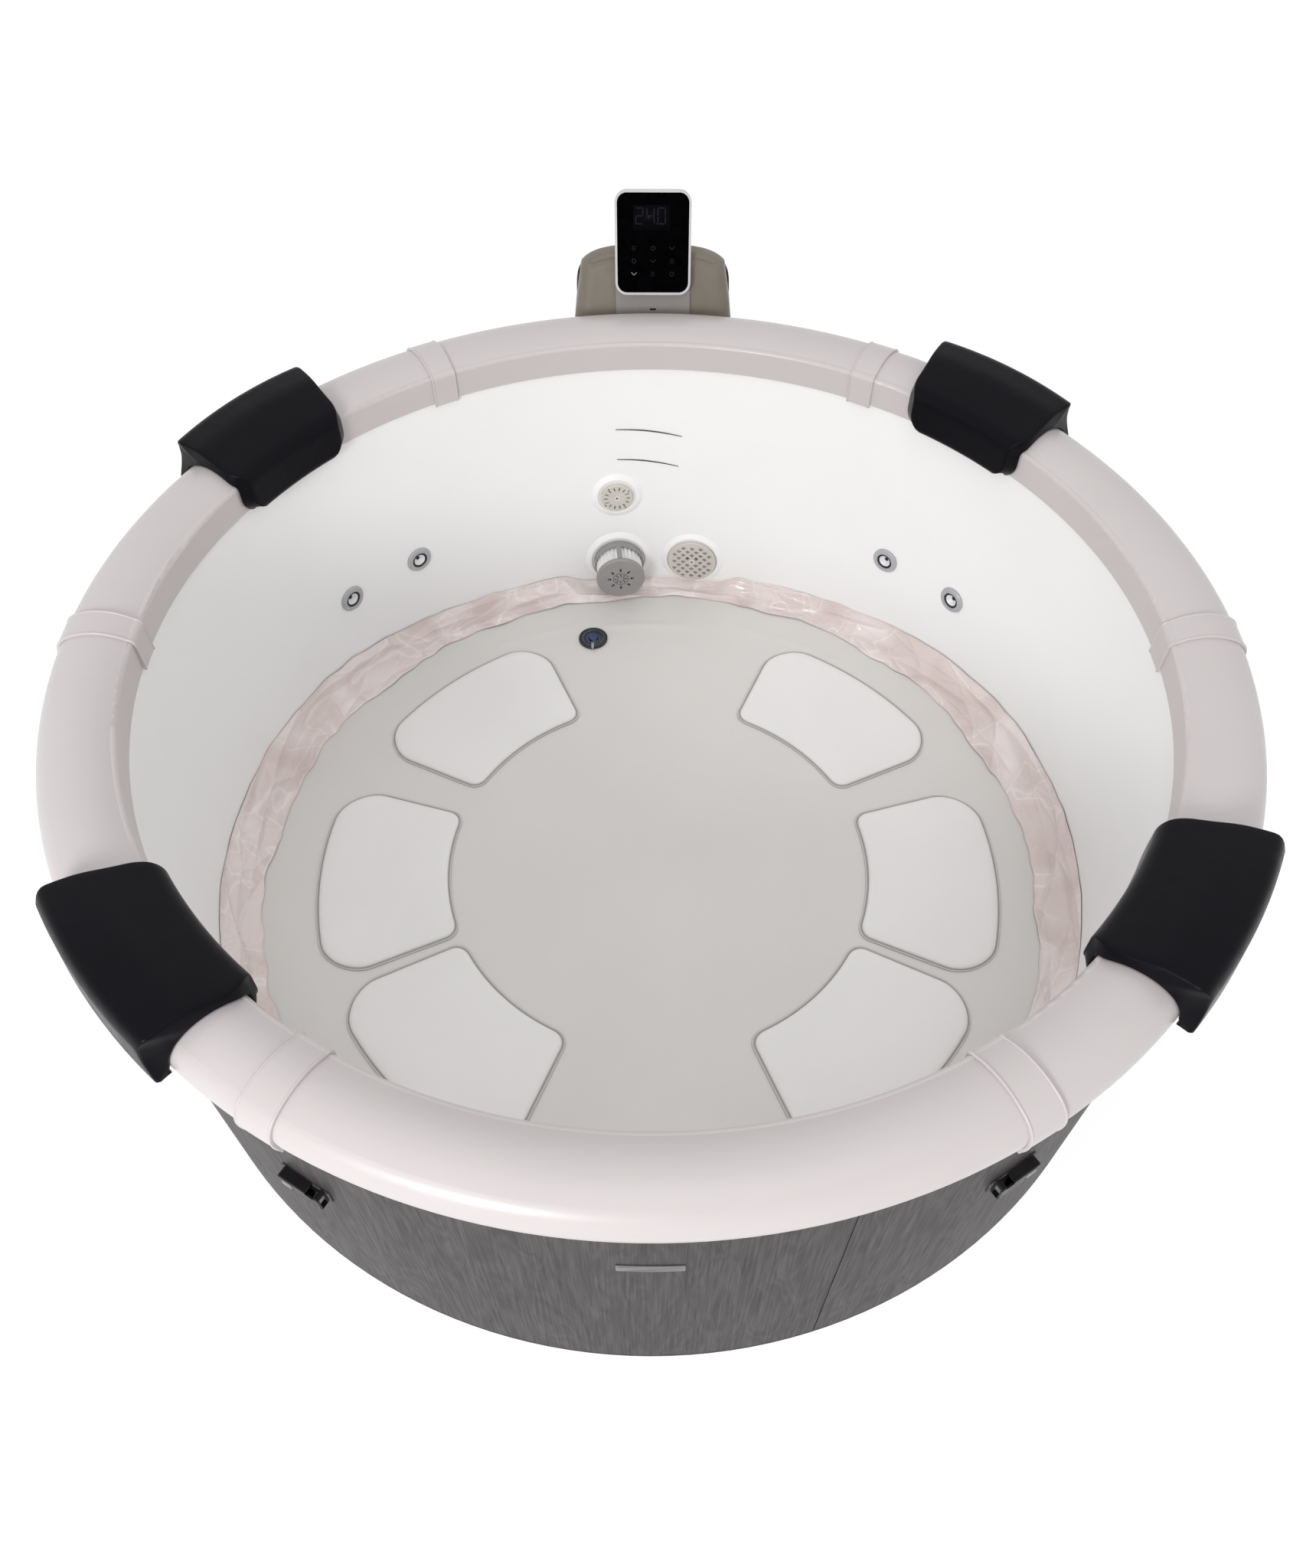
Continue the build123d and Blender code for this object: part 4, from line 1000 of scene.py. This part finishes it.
def wall_liner():
    """The wall's liner with soft waves, cut for the jets and ports."""
    columns, rows = 720, 26
    points = []
    for layer in (0, liner_wall):
        for j in range(rows):
            height = floor_top + (liner_top - floor_top) * j / (rows - 1)
            for i in range(columns):
                angle = full_turn * i / columns
                wave = 0.9 * mm * ripple(spot(angle, liner_inner, height * 0.6), 0.13)
                calm = smooth(liner_top - height, 0, 60 * mm)
                points.append(spot(angle, liner_inner + layer + (wave * calm if layer == 0 else 0), height))
    count = columns * rows
    faces = [tuple(reversed(f)) for f in quads(rows, columns)]
    faces += [tuple(count + k for k in f) for f in quads(rows, columns)]
    for base, flip in ((0, False), (count - columns, True)):
        for i in range(columns):
            k = (i + 1) % columns
            face = (base + i, base + k, count + base + k, count + base + i)
            faces.append(tuple(reversed(face)) if flip else face)
    piece = mesh_object("wall_liner_sheet", points, faces, finishes["wall"], slot="liner_vinyl")
    holes = [(on_wall(angle, jet_height), jet_hole) for angle in jet_angles]
    holes += [(on_wall(angle, height), port_hole) for angle, height in port_places]
    carve(piece, [rod_ends(place, radius, -hole_reach, hole_reach) for place, radius in holes])
    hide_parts("wall_liner")


# Soft folds of the floor: where each starts and ends round the tub, its radius and its rise
floor_folds = (
    (-13, 10, 688 * mm, 2.6 * mm),
    (-34, -12, 702 * mm, 1.6 * mm),
    (14, 40, 706 * mm, 1.6 * mm),
)


def angle_of(point):
    """The angle of a point from the back, clockwise seen from above."""
    return math.degrees(math.atan2(point.x, point.y))


def floor_liner():
    """The floor's liner, gently uneven, over the board."""
    rings_count, columns = 112, 240
    points = [Vector((0, 0, floor_top))]
    for j in range(1, rings_count + 1):
        radius = liner_outer * j / rings_count
        for i in range(columns):
            angle = full_turn * i / columns
            point = spot(angle, radius, floor_top)
            calm = 1 - smooth(radius, liner_inner - 180 * mm, liner_inner - 130 * mm)
            point.z -= 0.7 * mm * (1 + ripple(point, 0.12)) * calm
            for low, high, middle, rise in floor_folds:
                line = middle + 12 * mm * ripple(point, 0.16)
                ends = smooth(angle_of(point), low, low + 6) * (1 - smooth(angle_of(point), high - 6, high))
                point.z += rise * ends * (1 - smooth(abs(radius - line), 0, 15 * mm))
            points.append(point)
    faces = [(0, 1 + (i + 1) % columns, 1 + i) for i in range(columns)]
    for j in range(rings_count - 1):
        for i in range(columns):
            k = (i + 1) % columns
            low, high = 1 + j * columns, 1 + (j + 1) * columns
            faces.append((low + i, low + k, high + k, high + i))
    piece = mesh_object("floor_liner_sheet", points, faces, finishes["floor"], slot="liner_vinyl")
    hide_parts("floor_liner")


def ground_mat():
    """The felt mat under the tub."""
    columns = 180
    rings = []
    for inset, height in ((3 * mm, 0), (0.8 * mm, 0.6 * mm), (0, 0.5 * mat_top), (0.8 * mm, mat_top - 0.5 * mm), (3 * mm, mat_top)):
        rings.append([spot(-full_turn * i / columns, mat_radius - inset, height) for i in range(columns)])
    piece = loft("ground_mat_felt", rings, finishes["mat"], slot="mat_fabric")
    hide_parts("ground_mat")


# Buckle straps
strap_half_length = 42 * mm
strap_width = 32 * mm
strap_thickness = 2.2 * mm
buckle_angles = {"left": -149.0, "right": 147.0}


def buckle_strap(name, angle):
    """A webbing patch with rounded edges, that follows the skirt."""
    height = (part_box("buckle_straps")[0].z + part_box("buckle_straps")[1].z) / 2
    inner = skirt_radius + fit_gap
    corners = [
        (inner, height - strap_width / 2),
        (inner + strap_thickness, height - strap_width / 2),
        (inner + strap_thickness, height + strap_width / 2),
        (inner, height + strap_width / 2),
    ]
    section = evenly(rounded(corners, [0.5 * mm, 1 * mm, 1 * mm, 0.5 * mm], 3), 6 * mm)
    rings = []
    for i in range(13):
        place = strap_half_length * (2 * i / 12 - 1)
        turn = math.degrees(place / skirt_radius)
        rings.append([spot(angle + turn, p.x, p.y) for p in section])
    return loft(f"buckle_webbing_{name}", rings, finishes["webbing"], slot="strap_webbing")


# Small pieces on the fittings, the wall and the skirt
def hoop(name, place, profile, finish, sides=64, bend=0.0, **more):
    """A ring round a place's middle, through a closed profile of radii and heights, that can follow a curved wall."""
    points = []
    for radius, height in profile:
        for k in range(sides):
            turn = 2 * math.pi * k / sides
            x, y = radius * math.cos(turn), radius * math.sin(turn)
            points.append(place.at(x, y, height + bend * x * x / 2))
    return mesh_object(name, points, quads(len(profile), sides, wrap_rows=True), finish, **more)


def disc(name, place, x, y, radius, low, high, finish, sides=24, **more):
    """A round button."""
    turns = [2 * math.pi * k / sides for k in range(sides)]
    edge = (high - low) / 4
    rings = [
        [place.at(x + r * math.cos(t), y + r * math.sin(t), z) for t in turns]
        for r, z in ((radius, low), (radius, high - edge), (radius - edge, high))
    ]
    return loft(name, rings, finish, **more)


def plate(name, place, outline, low, high, finish, **more):
    """A thin plate from an outline."""
    rings = [[place.at(x, y, z) for x, y in outline] for z in (low, high)]
    return loft(name, rings, finish, **more)


def bar(start, end, width):
    """The outline of a straight bar with pointed ends, from one point to another."""
    start, end = Vector(start), Vector(end)
    along = (end - start).normalized() * width / 2
    side = Vector((-along.y, along.x))
    return [start - along, start - side, end - side, end + along, end + side, start + side]


skin_rise = 5.4 * mm
skin_reach = 13 * mm


def port_skin(name, angle, height, flange):
    """The liner drawn up over a port's flange, with a soft slope round it."""
    profile = [
        (flange - 3.5 * mm, skin_rise - 1 * mm),
        (flange - 3 * mm, skin_rise),
        (flange, skin_rise * 0.98),
        (flange + skin_reach * 0.2, skin_rise * 0.85),
        (flange + skin_reach * 0.45, skin_rise * 0.5),
        (flange + skin_reach * 0.75, skin_rise * 0.14),
        (flange + skin_reach, -0.4 * mm),
        (flange + skin_reach, -1.6 * mm),
        (flange + 1 * mm, -1.6 * mm),
        (flange + 0.3 * mm, skin_rise - 1 * mm),
    ]
    hoop(name, on_wall(angle, height), profile, finishes["wall"], 96, 1 / liner_inner, slot="liner_vinyl")


def ring_profile(inner, outer, low, high):
    """A ring's closed profile with eased edges."""
    edge = min(high - low, outer - inner) / 4
    return [(inner, low), (inner, high - edge), (inner + edge, high), (outer - edge, high), (outer, high - edge), (outer, low)]


def port_details():
    """Soft skins round the ports, rings on the two grilles, and dark discs of painted shade in the air grille's screw
    holes.
    """
    port_skin("filter_port_skin", filter_angle, filter_height, 66 * mm)
    port_skin("outlet_port_skin", outlet_angle, filter_height, 63 * mm)
    port_skin("air_port_skin", air_angle, air_height, 46 * mm)
    for name, angle, height, face in (
        ("outlet", outlet_angle, filter_height, grille_base + 8 * mm),
        ("air", air_angle, air_height, grille_base + 7 * mm),
    ):
        place = on_wall(angle, height)
        profile = ring_profile(3.4 * mm, 6 * mm, face - 0.4 * mm, face + 0.9 * mm)
        hoop(f"{name}_grille_eye", place, profile, finishes["fitting"], 32, slot="grille_beige")
    place = on_wall(air_angle, air_height)
    # Painted shade: dark discs where the four screws sit in their holes
    for i in range(4):
        turn = math.radians(35 + 90 * i)
        spot_x, spot_y = 32.4 * mm * math.cos(turn), 32.4 * mm * math.sin(turn)
        face = grille_base + 7 * mm
        disc(f"air_grille_screw_hole_shade_{i + 1}", place, spot_x, spot_y, 1.7 * mm, face - 0.5 * mm, face + 0.3 * mm, finishes["gap"], 16, slot="grille_beige")


def jet_details():
    """Painted shade: a black ring round each nozzle's funnel and a dark bead deep in its middle, in the gap and the
    bore.
    """
    for i, angle in enumerate(jet_angles):
        place = on_wall(angle, jet_height)
        body = f"jet_nozzle_{i + 1}"
        profile = ring_profile(13.3 * mm, 17.6 * mm, 3.6 * mm, 4.8 * mm)
        hoop(f"jet_shade_ring_{i + 1}", place, profile, finishes["gap"], 40, body=body, slot="nozzle_white")
        bead = 4.3 * mm
        disc(f"jet_bore_shade_{i + 1}", place, 0, 0, bead, -6 * mm, -4.2 * mm, finishes["gap"], body=body, slot="nozzle_white")


def cap_details():
    """Painted shade in the filter cap: dark discs over its openings, a ring of eight and a small group in the middle,
    and a dark ring in its groove.
    """
    out = -spot(filter_angle, 1, 0)
    face = max(v.co.dot(out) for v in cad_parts["filter_cap"].data.vertices)
    place = Place(out * face + Vector((0, 0, filter_height)), (0, 0, 1), out)
    more = {"body": "filter_cap", "slot": "filter_grey"}
    for name, count, ring, radius, turn in (("ring", 8, 25 * mm, 2.7 * mm, 0), ("middle", 6, 7 * mm, 1.7 * mm, 0.3)):
        for i in range(count):
            t = turn + 2 * math.pi * i / count
            x, y = ring * math.cos(t), ring * math.sin(t)
            disc(f"cap_{name}_{i + 1}", place, x, y, radius, -0.4 * mm, 0.15 * mm, finishes["gap"], 16, **more)
    # Painted shade: a dark ring in the nut's finish for the groove round the cap's middle
    profile = ring_profile(16.6 * mm, 18 * mm, -0.4 * mm, 0.15 * mm)
    hoop("cap_groove_shade", place, profile, finishes["nut"], 48, **more)


def drain_tab():
    """The pale pull tab on the drain plug."""
    low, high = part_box("drain_plug")
    middle = (low + high) / 2
    place = Place((middle.x, middle.y, high.z), (0, 1, 0), (0, 0, 1))
    corners = [(-2.6 * mm, -33 * mm), (2.6 * mm, -33 * mm), (3.4 * mm, -13 * mm), (-3.4 * mm, -13 * mm)]
    outline = rounded(corners, [2.2 * mm] * 4, 4)
    plate("drain_tab", place, outline, 0.2 * mm, 1.8 * mm, finishes["tab"], body="drain_plug", slot="drain_navy")


def water_line(name, points, width):
    """A thin printed line on the liner through points of angle and height."""
    rings = []
    for i, (angle, height) in enumerate(points):
        inner = liner_inner - 1.4 * mm
        outer = liner_inner - 0.2 * mm
        taper = width * (0.35 + 0.65 * math.sin(math.pi * (i + 0.5) / len(points)))
        corners = [(outer, -taper), (inner, -taper), (inner, taper), (outer, taper)]
        rings.append([spot(angle, r, height + lift / 2) for r, lift in corners])
    loft(name, rings, finishes["ink"], slot="liner_vinyl")


def water_lines():
    """The two water level lines above the air inlet."""
    for name, heights, angles in (
        ("upper", (478 * mm, 460 * mm), (-5.5, 4.4)),
        ("lower", (400 * mm, 381 * mm), (-5.4, 4.0)),
    ):
        points = []
        for i in range(25):
            share = i / 24
            sag = 3.5 * mm * math.sin(math.pi * share)
            height = heights[0] + (heights[1] - heights[0]) * share + sag
            points.append((angles[0] + (angles[1] - angles[0]) * share, height))
        water_line(f"water_line_{name}", points, 2.6 * mm)


def buckle_details():
    """A grey release window in each buckle."""
    for name, angle in buckle_angles.items():
        low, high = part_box(f"buckle_socket_{name}")
        place = on_skirt(angle, (low.z + high.z) / 2 + 3.5 * mm)
        side = math.copysign(1, angle)
        face = 3.1 * mm + 15 * mm
        middle = side * 21 * mm
        half_width, half_height = 8.5 * mm, 7.5 * mm
        corners = [
            (middle - half_width, -half_height),
            (middle + half_width, -half_height),
            (middle + half_width, half_height),
            (middle - half_width, half_height),
        ]
        outline = rounded(corners, [2 * mm] * 4, 4)
        plate(f"buckle_window_{name}", place, outline, face - 1 * mm, face + 0.8 * mm, finishes["window"], slot="buckle_black")


def skirt_plate():
    """A plain plate on the front of the skirt."""
    half_width, half_height = 45 * mm, 11 * mm
    rings = []
    corners = [(-half_width, -half_height), (half_width, -half_height), (half_width, half_height), (-half_width, half_height)]
    outline = evenly(rounded(corners, [2 * mm] * 4, 4), 6 * mm)
    for lift in (0.1 * mm, 1.2 * mm, 1.6 * mm):
        draw = 0.4 * mm if lift > 1.5 * mm else 0
        ring = []
        for point in outline:
            x = point.x * (1 - draw / half_width)
            y = point.y * (1 - draw / half_height)
            ring.append(spot(180 + math.degrees(x / skirt_radius), skirt_radius + lift, 458 * mm + y))
        rings.append(ring)
    loft("skirt_plate", rings, finishes["badge"], slot="skirt_board")


# Casing of the control box
case_low, case_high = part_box("control_housing")
case_back = case_high.y
case_top_half = 166 * mm
case_taper_share = 0.14
case_knee = 640 * mm
case_lean = math.radians(20)
case_crest_height = 780 * mm
case_crest_depth = 24 * mm
case_arch_drop = 88 * mm
case_arch_power = 3.3
case_fall = math.radians(34)
case_edge = 9 * mm
case_back_edge = 20 * mm
case_corner = 30 * mm
case_wall = 4 * mm
vent_half_width = 75 * mm
vent_gap = 7 * mm
vent_pitch = 16 * mm
vent_low = 470 * mm
vent_count = 7
pipe_hole = 20 * mm
hose_hole = 12 * mm
hose_angles = (-8.6, 8.6)
gland_hole = 9.3 * mm
gland_place = sum(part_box("cord_gland"), Vector()) / 2
dock_slot_place = 38 * mm
dock_face = 5.3 * mm


def case_front(height):
    """Where the casing's front stands at a height: upright, then leaning back."""
    return case_low.y + max(0.0, height - case_knee) * math.tan(case_lean)


def case_half(height):
    """Half the casing's width at a height."""
    share = (height - case_low.z) / (case_crest_height - case_arch_drop - case_low.z)
    taper = case_taper_share * max(0.0, height - case_knee)
    return case_high.x + (case_top_half - case_high.x) * share - taper


def case_roof(x, y):
    """The height of the casing's top: an arch across, a narrow crest, then a long fall to the back."""
    across = min(1.0, abs(x) / case_top_half)
    arch = case_arch_drop * (1 - (1 - across**case_arch_power) ** (1 / case_arch_power))
    run = max(0.0, y - case_front(case_crest_height - arch))
    bend = max(0.0, run - case_crest_depth)
    fall = math.tan(case_fall) * bend**2 / (bend + case_crest_depth)
    edges = corner_pull(run, case_edge) + corner_pull(case_back - y, case_back_edge)
    return case_crest_height - arch - fall - edges


def case_point(across, along, height):
    """A point of the casing's wall from its shares of the width and depth."""
    front = case_front(height)
    return Vector((across * case_half(height), front + along * (case_back - front), height))


def control_casing():
    """A thin shell, open underneath, with vents behind and holes for the pipes."""
    half, depth = case_high.x, case_back - case_low.y
    corners = [(-half, 0), (half, 0), (half, depth), (-half, depth)]
    shares = [(p.x / half, p.y / depth) for p in evenly(rounded(corners, [case_corner] * 4, 6), 9 * mm)]
    tops = []
    for share in shares:
        height = case_knee
        for _ in range(12):
            height = case_roof(*case_point(*share, height).xy)
        tops.append(height)
    rows = []
    for step in range(17):
        for share, top in zip(shares, tops):
            knee = min(case_knee, top - case_edge)
            if step < 8:
                height = case_low.z + (knee - case_edge - case_low.z) * step / 7
            else:
                height = knee + (top - knee) * (step - 8) / 8
            rows.append(case_point(*share, height))
    middle = Vector((0, case_low.y + depth / 2))
    edge = [p.xy for p in rows[-len(shares) :]]
    inward = (0.002, 0.006, 0.012, 0.02, 0.03, 0.045, 0.06, 0.08, 0.11, 0.15, 0.2, 0.26, 0.33, 0.42, 0.52, 0.64, 0.78, 0.92)
    for share in inward:
        for point in edge:
            flat = point.lerp(middle, share)
            rows.append(Vector((*flat, case_roof(*flat))))
    count = len(shares)
    faces = quads(len(rows) // count, count)
    faces.append(tuple(range(len(rows) - count, len(rows))))
    piece = mesh_object("control_casing", rows, faces, finishes["housing"], slot="housing_plastic")
    shell = piece.modifiers.new("shell", "SOLIDIFY")
    shell.thickness = case_wall
    shell.offset = -1
    settle(piece)
    cuts = []
    for i in range(vent_count):
        low, high = (vent_low + vent_pitch * i + side * vent_gap / 2 for side in (-1, 1))
        ends = (case_back - 3 * case_wall, case_back + case_wall)
        corners = [(-vent_half_width, low), (vent_half_width, low), (vent_half_width, high), (-vent_half_width, high)]
        cuts.append([[Vector((x, y, z)) for x, z in corners] for y in ends])
    behind = Place((gland_place.x, case_back, gland_place.z), (0, 0, 1), (0, 1, 0))
    cuts.append(rod_ends(behind, gland_hole, -3 * case_wall, case_wall))
    pipes = [(angle, height, pipe_hole) for angle, height in port_places]
    pipes += [(angle, jet_height, hose_hole) for angle in hose_angles]
    for angle, height, radius in pipes:
        cuts.append(rod_ends(on_skirt(angle, height), radius, 0, 60 * mm))
    carve(piece, cuts)
    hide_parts("control_housing")


def dock_slot():
    """Painted shade: a dark plate inside the dock's slot."""
    lean = Vector((0, math.sin(case_lean), math.cos(case_lean)))
    out = Vector((0, -math.cos(case_lean), math.sin(case_lean)))
    place = Place((0, case_low.y, case_knee), lean, out)
    corners = [(-6.4 * mm, -1.9 * mm), (6.4 * mm, -1.9 * mm), (6.4 * mm, 1.9 * mm), (-6.4 * mm, 1.9 * mm)]
    outline = [(x, y + dock_slot_place) for x, y in corners]
    plate("dock_slot_painted_shade", place, outline, dock_face - 2 * mm, dock_face - 0.2 * mm, finishes["gap"], slot="dock_silver")


# Remote display
glass_thickness = 2.5 * mm


def on_remote():
    """The face of the remote's glass, with Y up the slope from the glass's middle."""
    low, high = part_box("remote_glass")
    up = Vector((0, math.sin(case_lean), math.cos(case_lean)))
    out = Vector((0, -math.cos(case_lean), math.sin(case_lean)))
    return Place((low + high) / 2 + out * glass_thickness / 2, up, out)


segment_length = 14.5 * mm
segment_width = 2.2 * mm
digit_step = 22.5 * mm
number_height = 51 * mm
segments_of = {"2": "abged", "4": "fgbc", "0": "abcdef"}
segment_ends = {
    "a": ((0, 2), (1, 2)),
    "b": ((1, 1), (1, 2)),
    "c": ((1, 0), (1, 1)),
    "d": ((0, 0), (1, 0)),
    "e": ((0, 0), (0, 1)),
    "f": ((0, 1), (0, 2)),
    "g": ((0, 1), (1, 1)),
}
mark_rise = 0.35 * mm


def on_glass(name, outline, finish):
    """A mark printed on the glass."""
    plate(name, on_remote(), outline, -mark_rise, mark_rise, finishes[finish], body="remote", slot="remote_black")


def number_row():
    """A plain temperature in seven-segment digits on a slightly lighter window."""
    half_width, half_height = 37 * mm, 23.5 * mm
    corners = [(-half_width, -half_height), (half_width, -half_height), (half_width, half_height), (-half_width, half_height)]
    outline = [(x - 3 * mm, y + 47.5 * mm) for x, y in corners]
    plate("display_window", on_remote(), outline, -mark_rise, mark_rise / 3, finishes["panel"], body="remote", slot="remote_black")
    for place, digit in enumerate("240"):
        left = (place - 1.55) * digit_step
        for segment in segments_of[digit]:
            ends = []
            for column, row in segment_ends[segment]:
                ends.append(Vector((left + column * segment_length, number_height + (row - 1) * segment_length)))
            gap = (ends[1] - ends[0]).normalized() * segment_width * 0.65
            on_glass(f"digit_{place + 1}_{segment}", bar(ends[0] + gap, ends[1] - gap, segment_width), "display")
    point = (0.3 * digit_step, number_height - segment_length)
    disc("digit_point", on_remote(), point[0], point[1], 1.4 * mm, -mark_rise, mark_rise, finishes["display"], 16, body="remote", slot="remote_black")


key_step = 39 * mm
key_row_step = 24.5 * mm
key_size = 5 * mm


def key_marks():
    """Three rows of plain key marks: chevrons, rings and bars."""
    for row in range(3):
        for column in range(3):
            x, y = (column - 1) * key_step, -9 * mm - row * key_row_step
            name = f"key_{row + 1}_{column + 1}"
            finish = "display_bright" if (row, column) == (2, 0) else "display"
            kind = (row + column) % 3
            if kind == 2:
                tip = Vector((x, y - key_size / 2))
                for end, side in (("a", 1), ("b", -1)):
                    on_glass(f"{name}{end}", bar(tip, tip + Vector((side * key_size, key_size)), 1.7 * mm), finish)
            elif kind == 1:
                profile = ring_profile(key_size * 0.62, key_size * 0.9, -mark_rise, mark_rise)
                place = on_remote()
                place.origin = place.at(x, y, 0)
                hoop(name, place, profile, finishes[finish], 24, body="remote", slot="remote_black")
            else:
                for line in (-1, 0, 1):
                    rise = line * key_size * 0.7
                    ends = (x - key_size * 0.8, y + rise), (x + key_size * 0.8, y + rise)
                    on_glass(f"{name}_{line + 2}", bar(*ends, 1.1 * mm), finish)


def world_and_lights():
    """An even white surround, a soft lamp above and a wide one from the front."""
    scene = bpy.context.scene
    scene.view_settings.view_transform = "Standard"
    world = bpy.data.worlds.new("studio")
    scene.world = world
    world.use_nodes = True
    tree = world.node_tree
    light = tree.nodes["Background"]
    light.inputs["Color"].default_value = (1, 1, 1, 1)
    light.inputs["Strength"].default_value = 0.78
    white = tree.nodes.new("ShaderNodeBackground")
    white.inputs["Color"].default_value = (1, 1, 1, 1)
    white.inputs["Strength"].default_value = 1.0
    blend = tree.nodes.new("ShaderNodeMixShader")
    tree.links.new(ray_is_seen(tree), blend.inputs[0])
    tree.links.new(light.outputs[0], blend.inputs[1])
    tree.links.new(white.outputs[0], blend.inputs[2])
    tree.links.new(blend.outputs[0], tree.nodes["World Output"].inputs[0])
    lamp("lamp_above", (0.3, -1.4, 4.4), (0, 0.1, 0.3), 2.4, 14)
    lamp("lamp_front", (-1.9, -4.4, 2.5), (0, 0, 0.4), 1.6, 122)


def ray_is_seen(tree):
    """One for rays from the camera or off gloss and glass, which see the white surround."""
    path = tree.nodes.new("ShaderNodeLightPath")
    total = path.outputs["Is Camera Ray"]
    for name in ("Is Glossy Ray", "Is Transmission Ray"):
        joined = tree.nodes.new("ShaderNodeMath")
        joined.operation = "MAXIMUM"
        tree.links.new(total, joined.inputs[0])
        tree.links.new(path.outputs[name], joined.inputs[1])
        total = joined.outputs[0]
    return total


def lamp(name, place, target, size, power):
    data = bpy.data.lights.new(name, "AREA")
    data.shape = "DISK"
    data.size = size
    data.energy = power
    made = bpy.data.objects.new(name, data)
    made.location = place
    made.rotation_euler = (Vector(target) - Vector(place)).to_track_quat("-Z", "Y").to_euler()
    bpy.context.scene.collection.objects.link(made)


def floor():
    """A pale floor that shows white and keeps the shadow of the tub."""
    material = bpy.data.materials.new("studio_floor")
    material.use_nodes = True
    tree = material.node_tree
    shader = tree.nodes["Principled BSDF"]
    shader.inputs["Base Color"].default_value = (0.8, 0.8, 0.8, 1)
    shader.inputs["Roughness"].default_value = 0.9
    diffuse = tree.nodes.new("ShaderNodeBsdfDiffuse")
    diffuse.inputs["Color"].default_value = (0.3, 0.3, 0.3, 1)
    glow = tree.nodes.new("ShaderNodeEmission")
    glow.inputs["Strength"].default_value = 0.78
    both = tree.nodes.new("ShaderNodeAddShader")
    tree.links.new(diffuse.outputs[0], both.inputs[0])
    tree.links.new(glow.outputs[0], both.inputs[1])
    blend = tree.nodes.new("ShaderNodeMixShader")
    tree.links.new(ray_is_seen(tree), blend.inputs[0])
    tree.links.new(shader.outputs[0], blend.inputs[1])
    tree.links.new(both.outputs[0], blend.inputs[2])
    tree.links.new(blend.outputs[0], tree.nodes["Material Output"].inputs[0])
    reach = 40.0
    mesh = bpy.data.meshes.new("studio_floor")
    corners = [(-reach, -reach, 0), (reach, -reach, 0), (reach, reach, 0), (-reach, reach, 0)]
    mesh.from_pydata(corners, [], [(0, 1, 2, 3)])
    mesh.materials.append(material)
    piece = bpy.data.objects.new("studio_floor", mesh)
    piece.location.z = -0.5 * mm
    bpy.context.scene.collection.objects.link(piece)


def camera():
    """The photograph's camera."""
    data = bpy.data.cameras.new("photo_camera")
    data.sensor_width = sensor_side
    data.lens = camera_focal_px / picture_height_px * sensor_side
    made = bpy.data.objects.new("photo_camera", data)
    aim = (
        Matrix.Rotation(-math.radians(camera_yaw), 4, "Z")
        @ Matrix.Rotation(math.radians(90 - camera_pitch), 4, "X")
        @ Matrix.Rotation(math.radians(camera_roll), 4, "Z")
    )
    made.matrix_world = Matrix.Translation(camera_place) @ aim
    bpy.context.scene.collection.objects.link(made)
    bpy.context.scene.camera = made


camera()
world_and_lights()
floor()
finish_nodes()
cover_beads()
for rest_name, rest_angle in rest_places.items():
    headrest(rest_name, rest_angle)
for pad_index, pad_angle in enumerate((-137.0, -94.0, -44.0, 44.0, 94.0, 137.0)):
    seat_pad(pad_index + 1, pad_angle)
wall_liner()
floor_liner()
liner_band()
ground_mat()
straps = [buckle_strap(name, angle) for name, angle in buckle_angles.items()]
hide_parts("buckle_straps")
port_details()
jet_details()
cap_details()
drain_tab()
control_casing()
dock_slot()
water_lines()
buckle_details()
skirt_plate()
number_row()
key_marks()
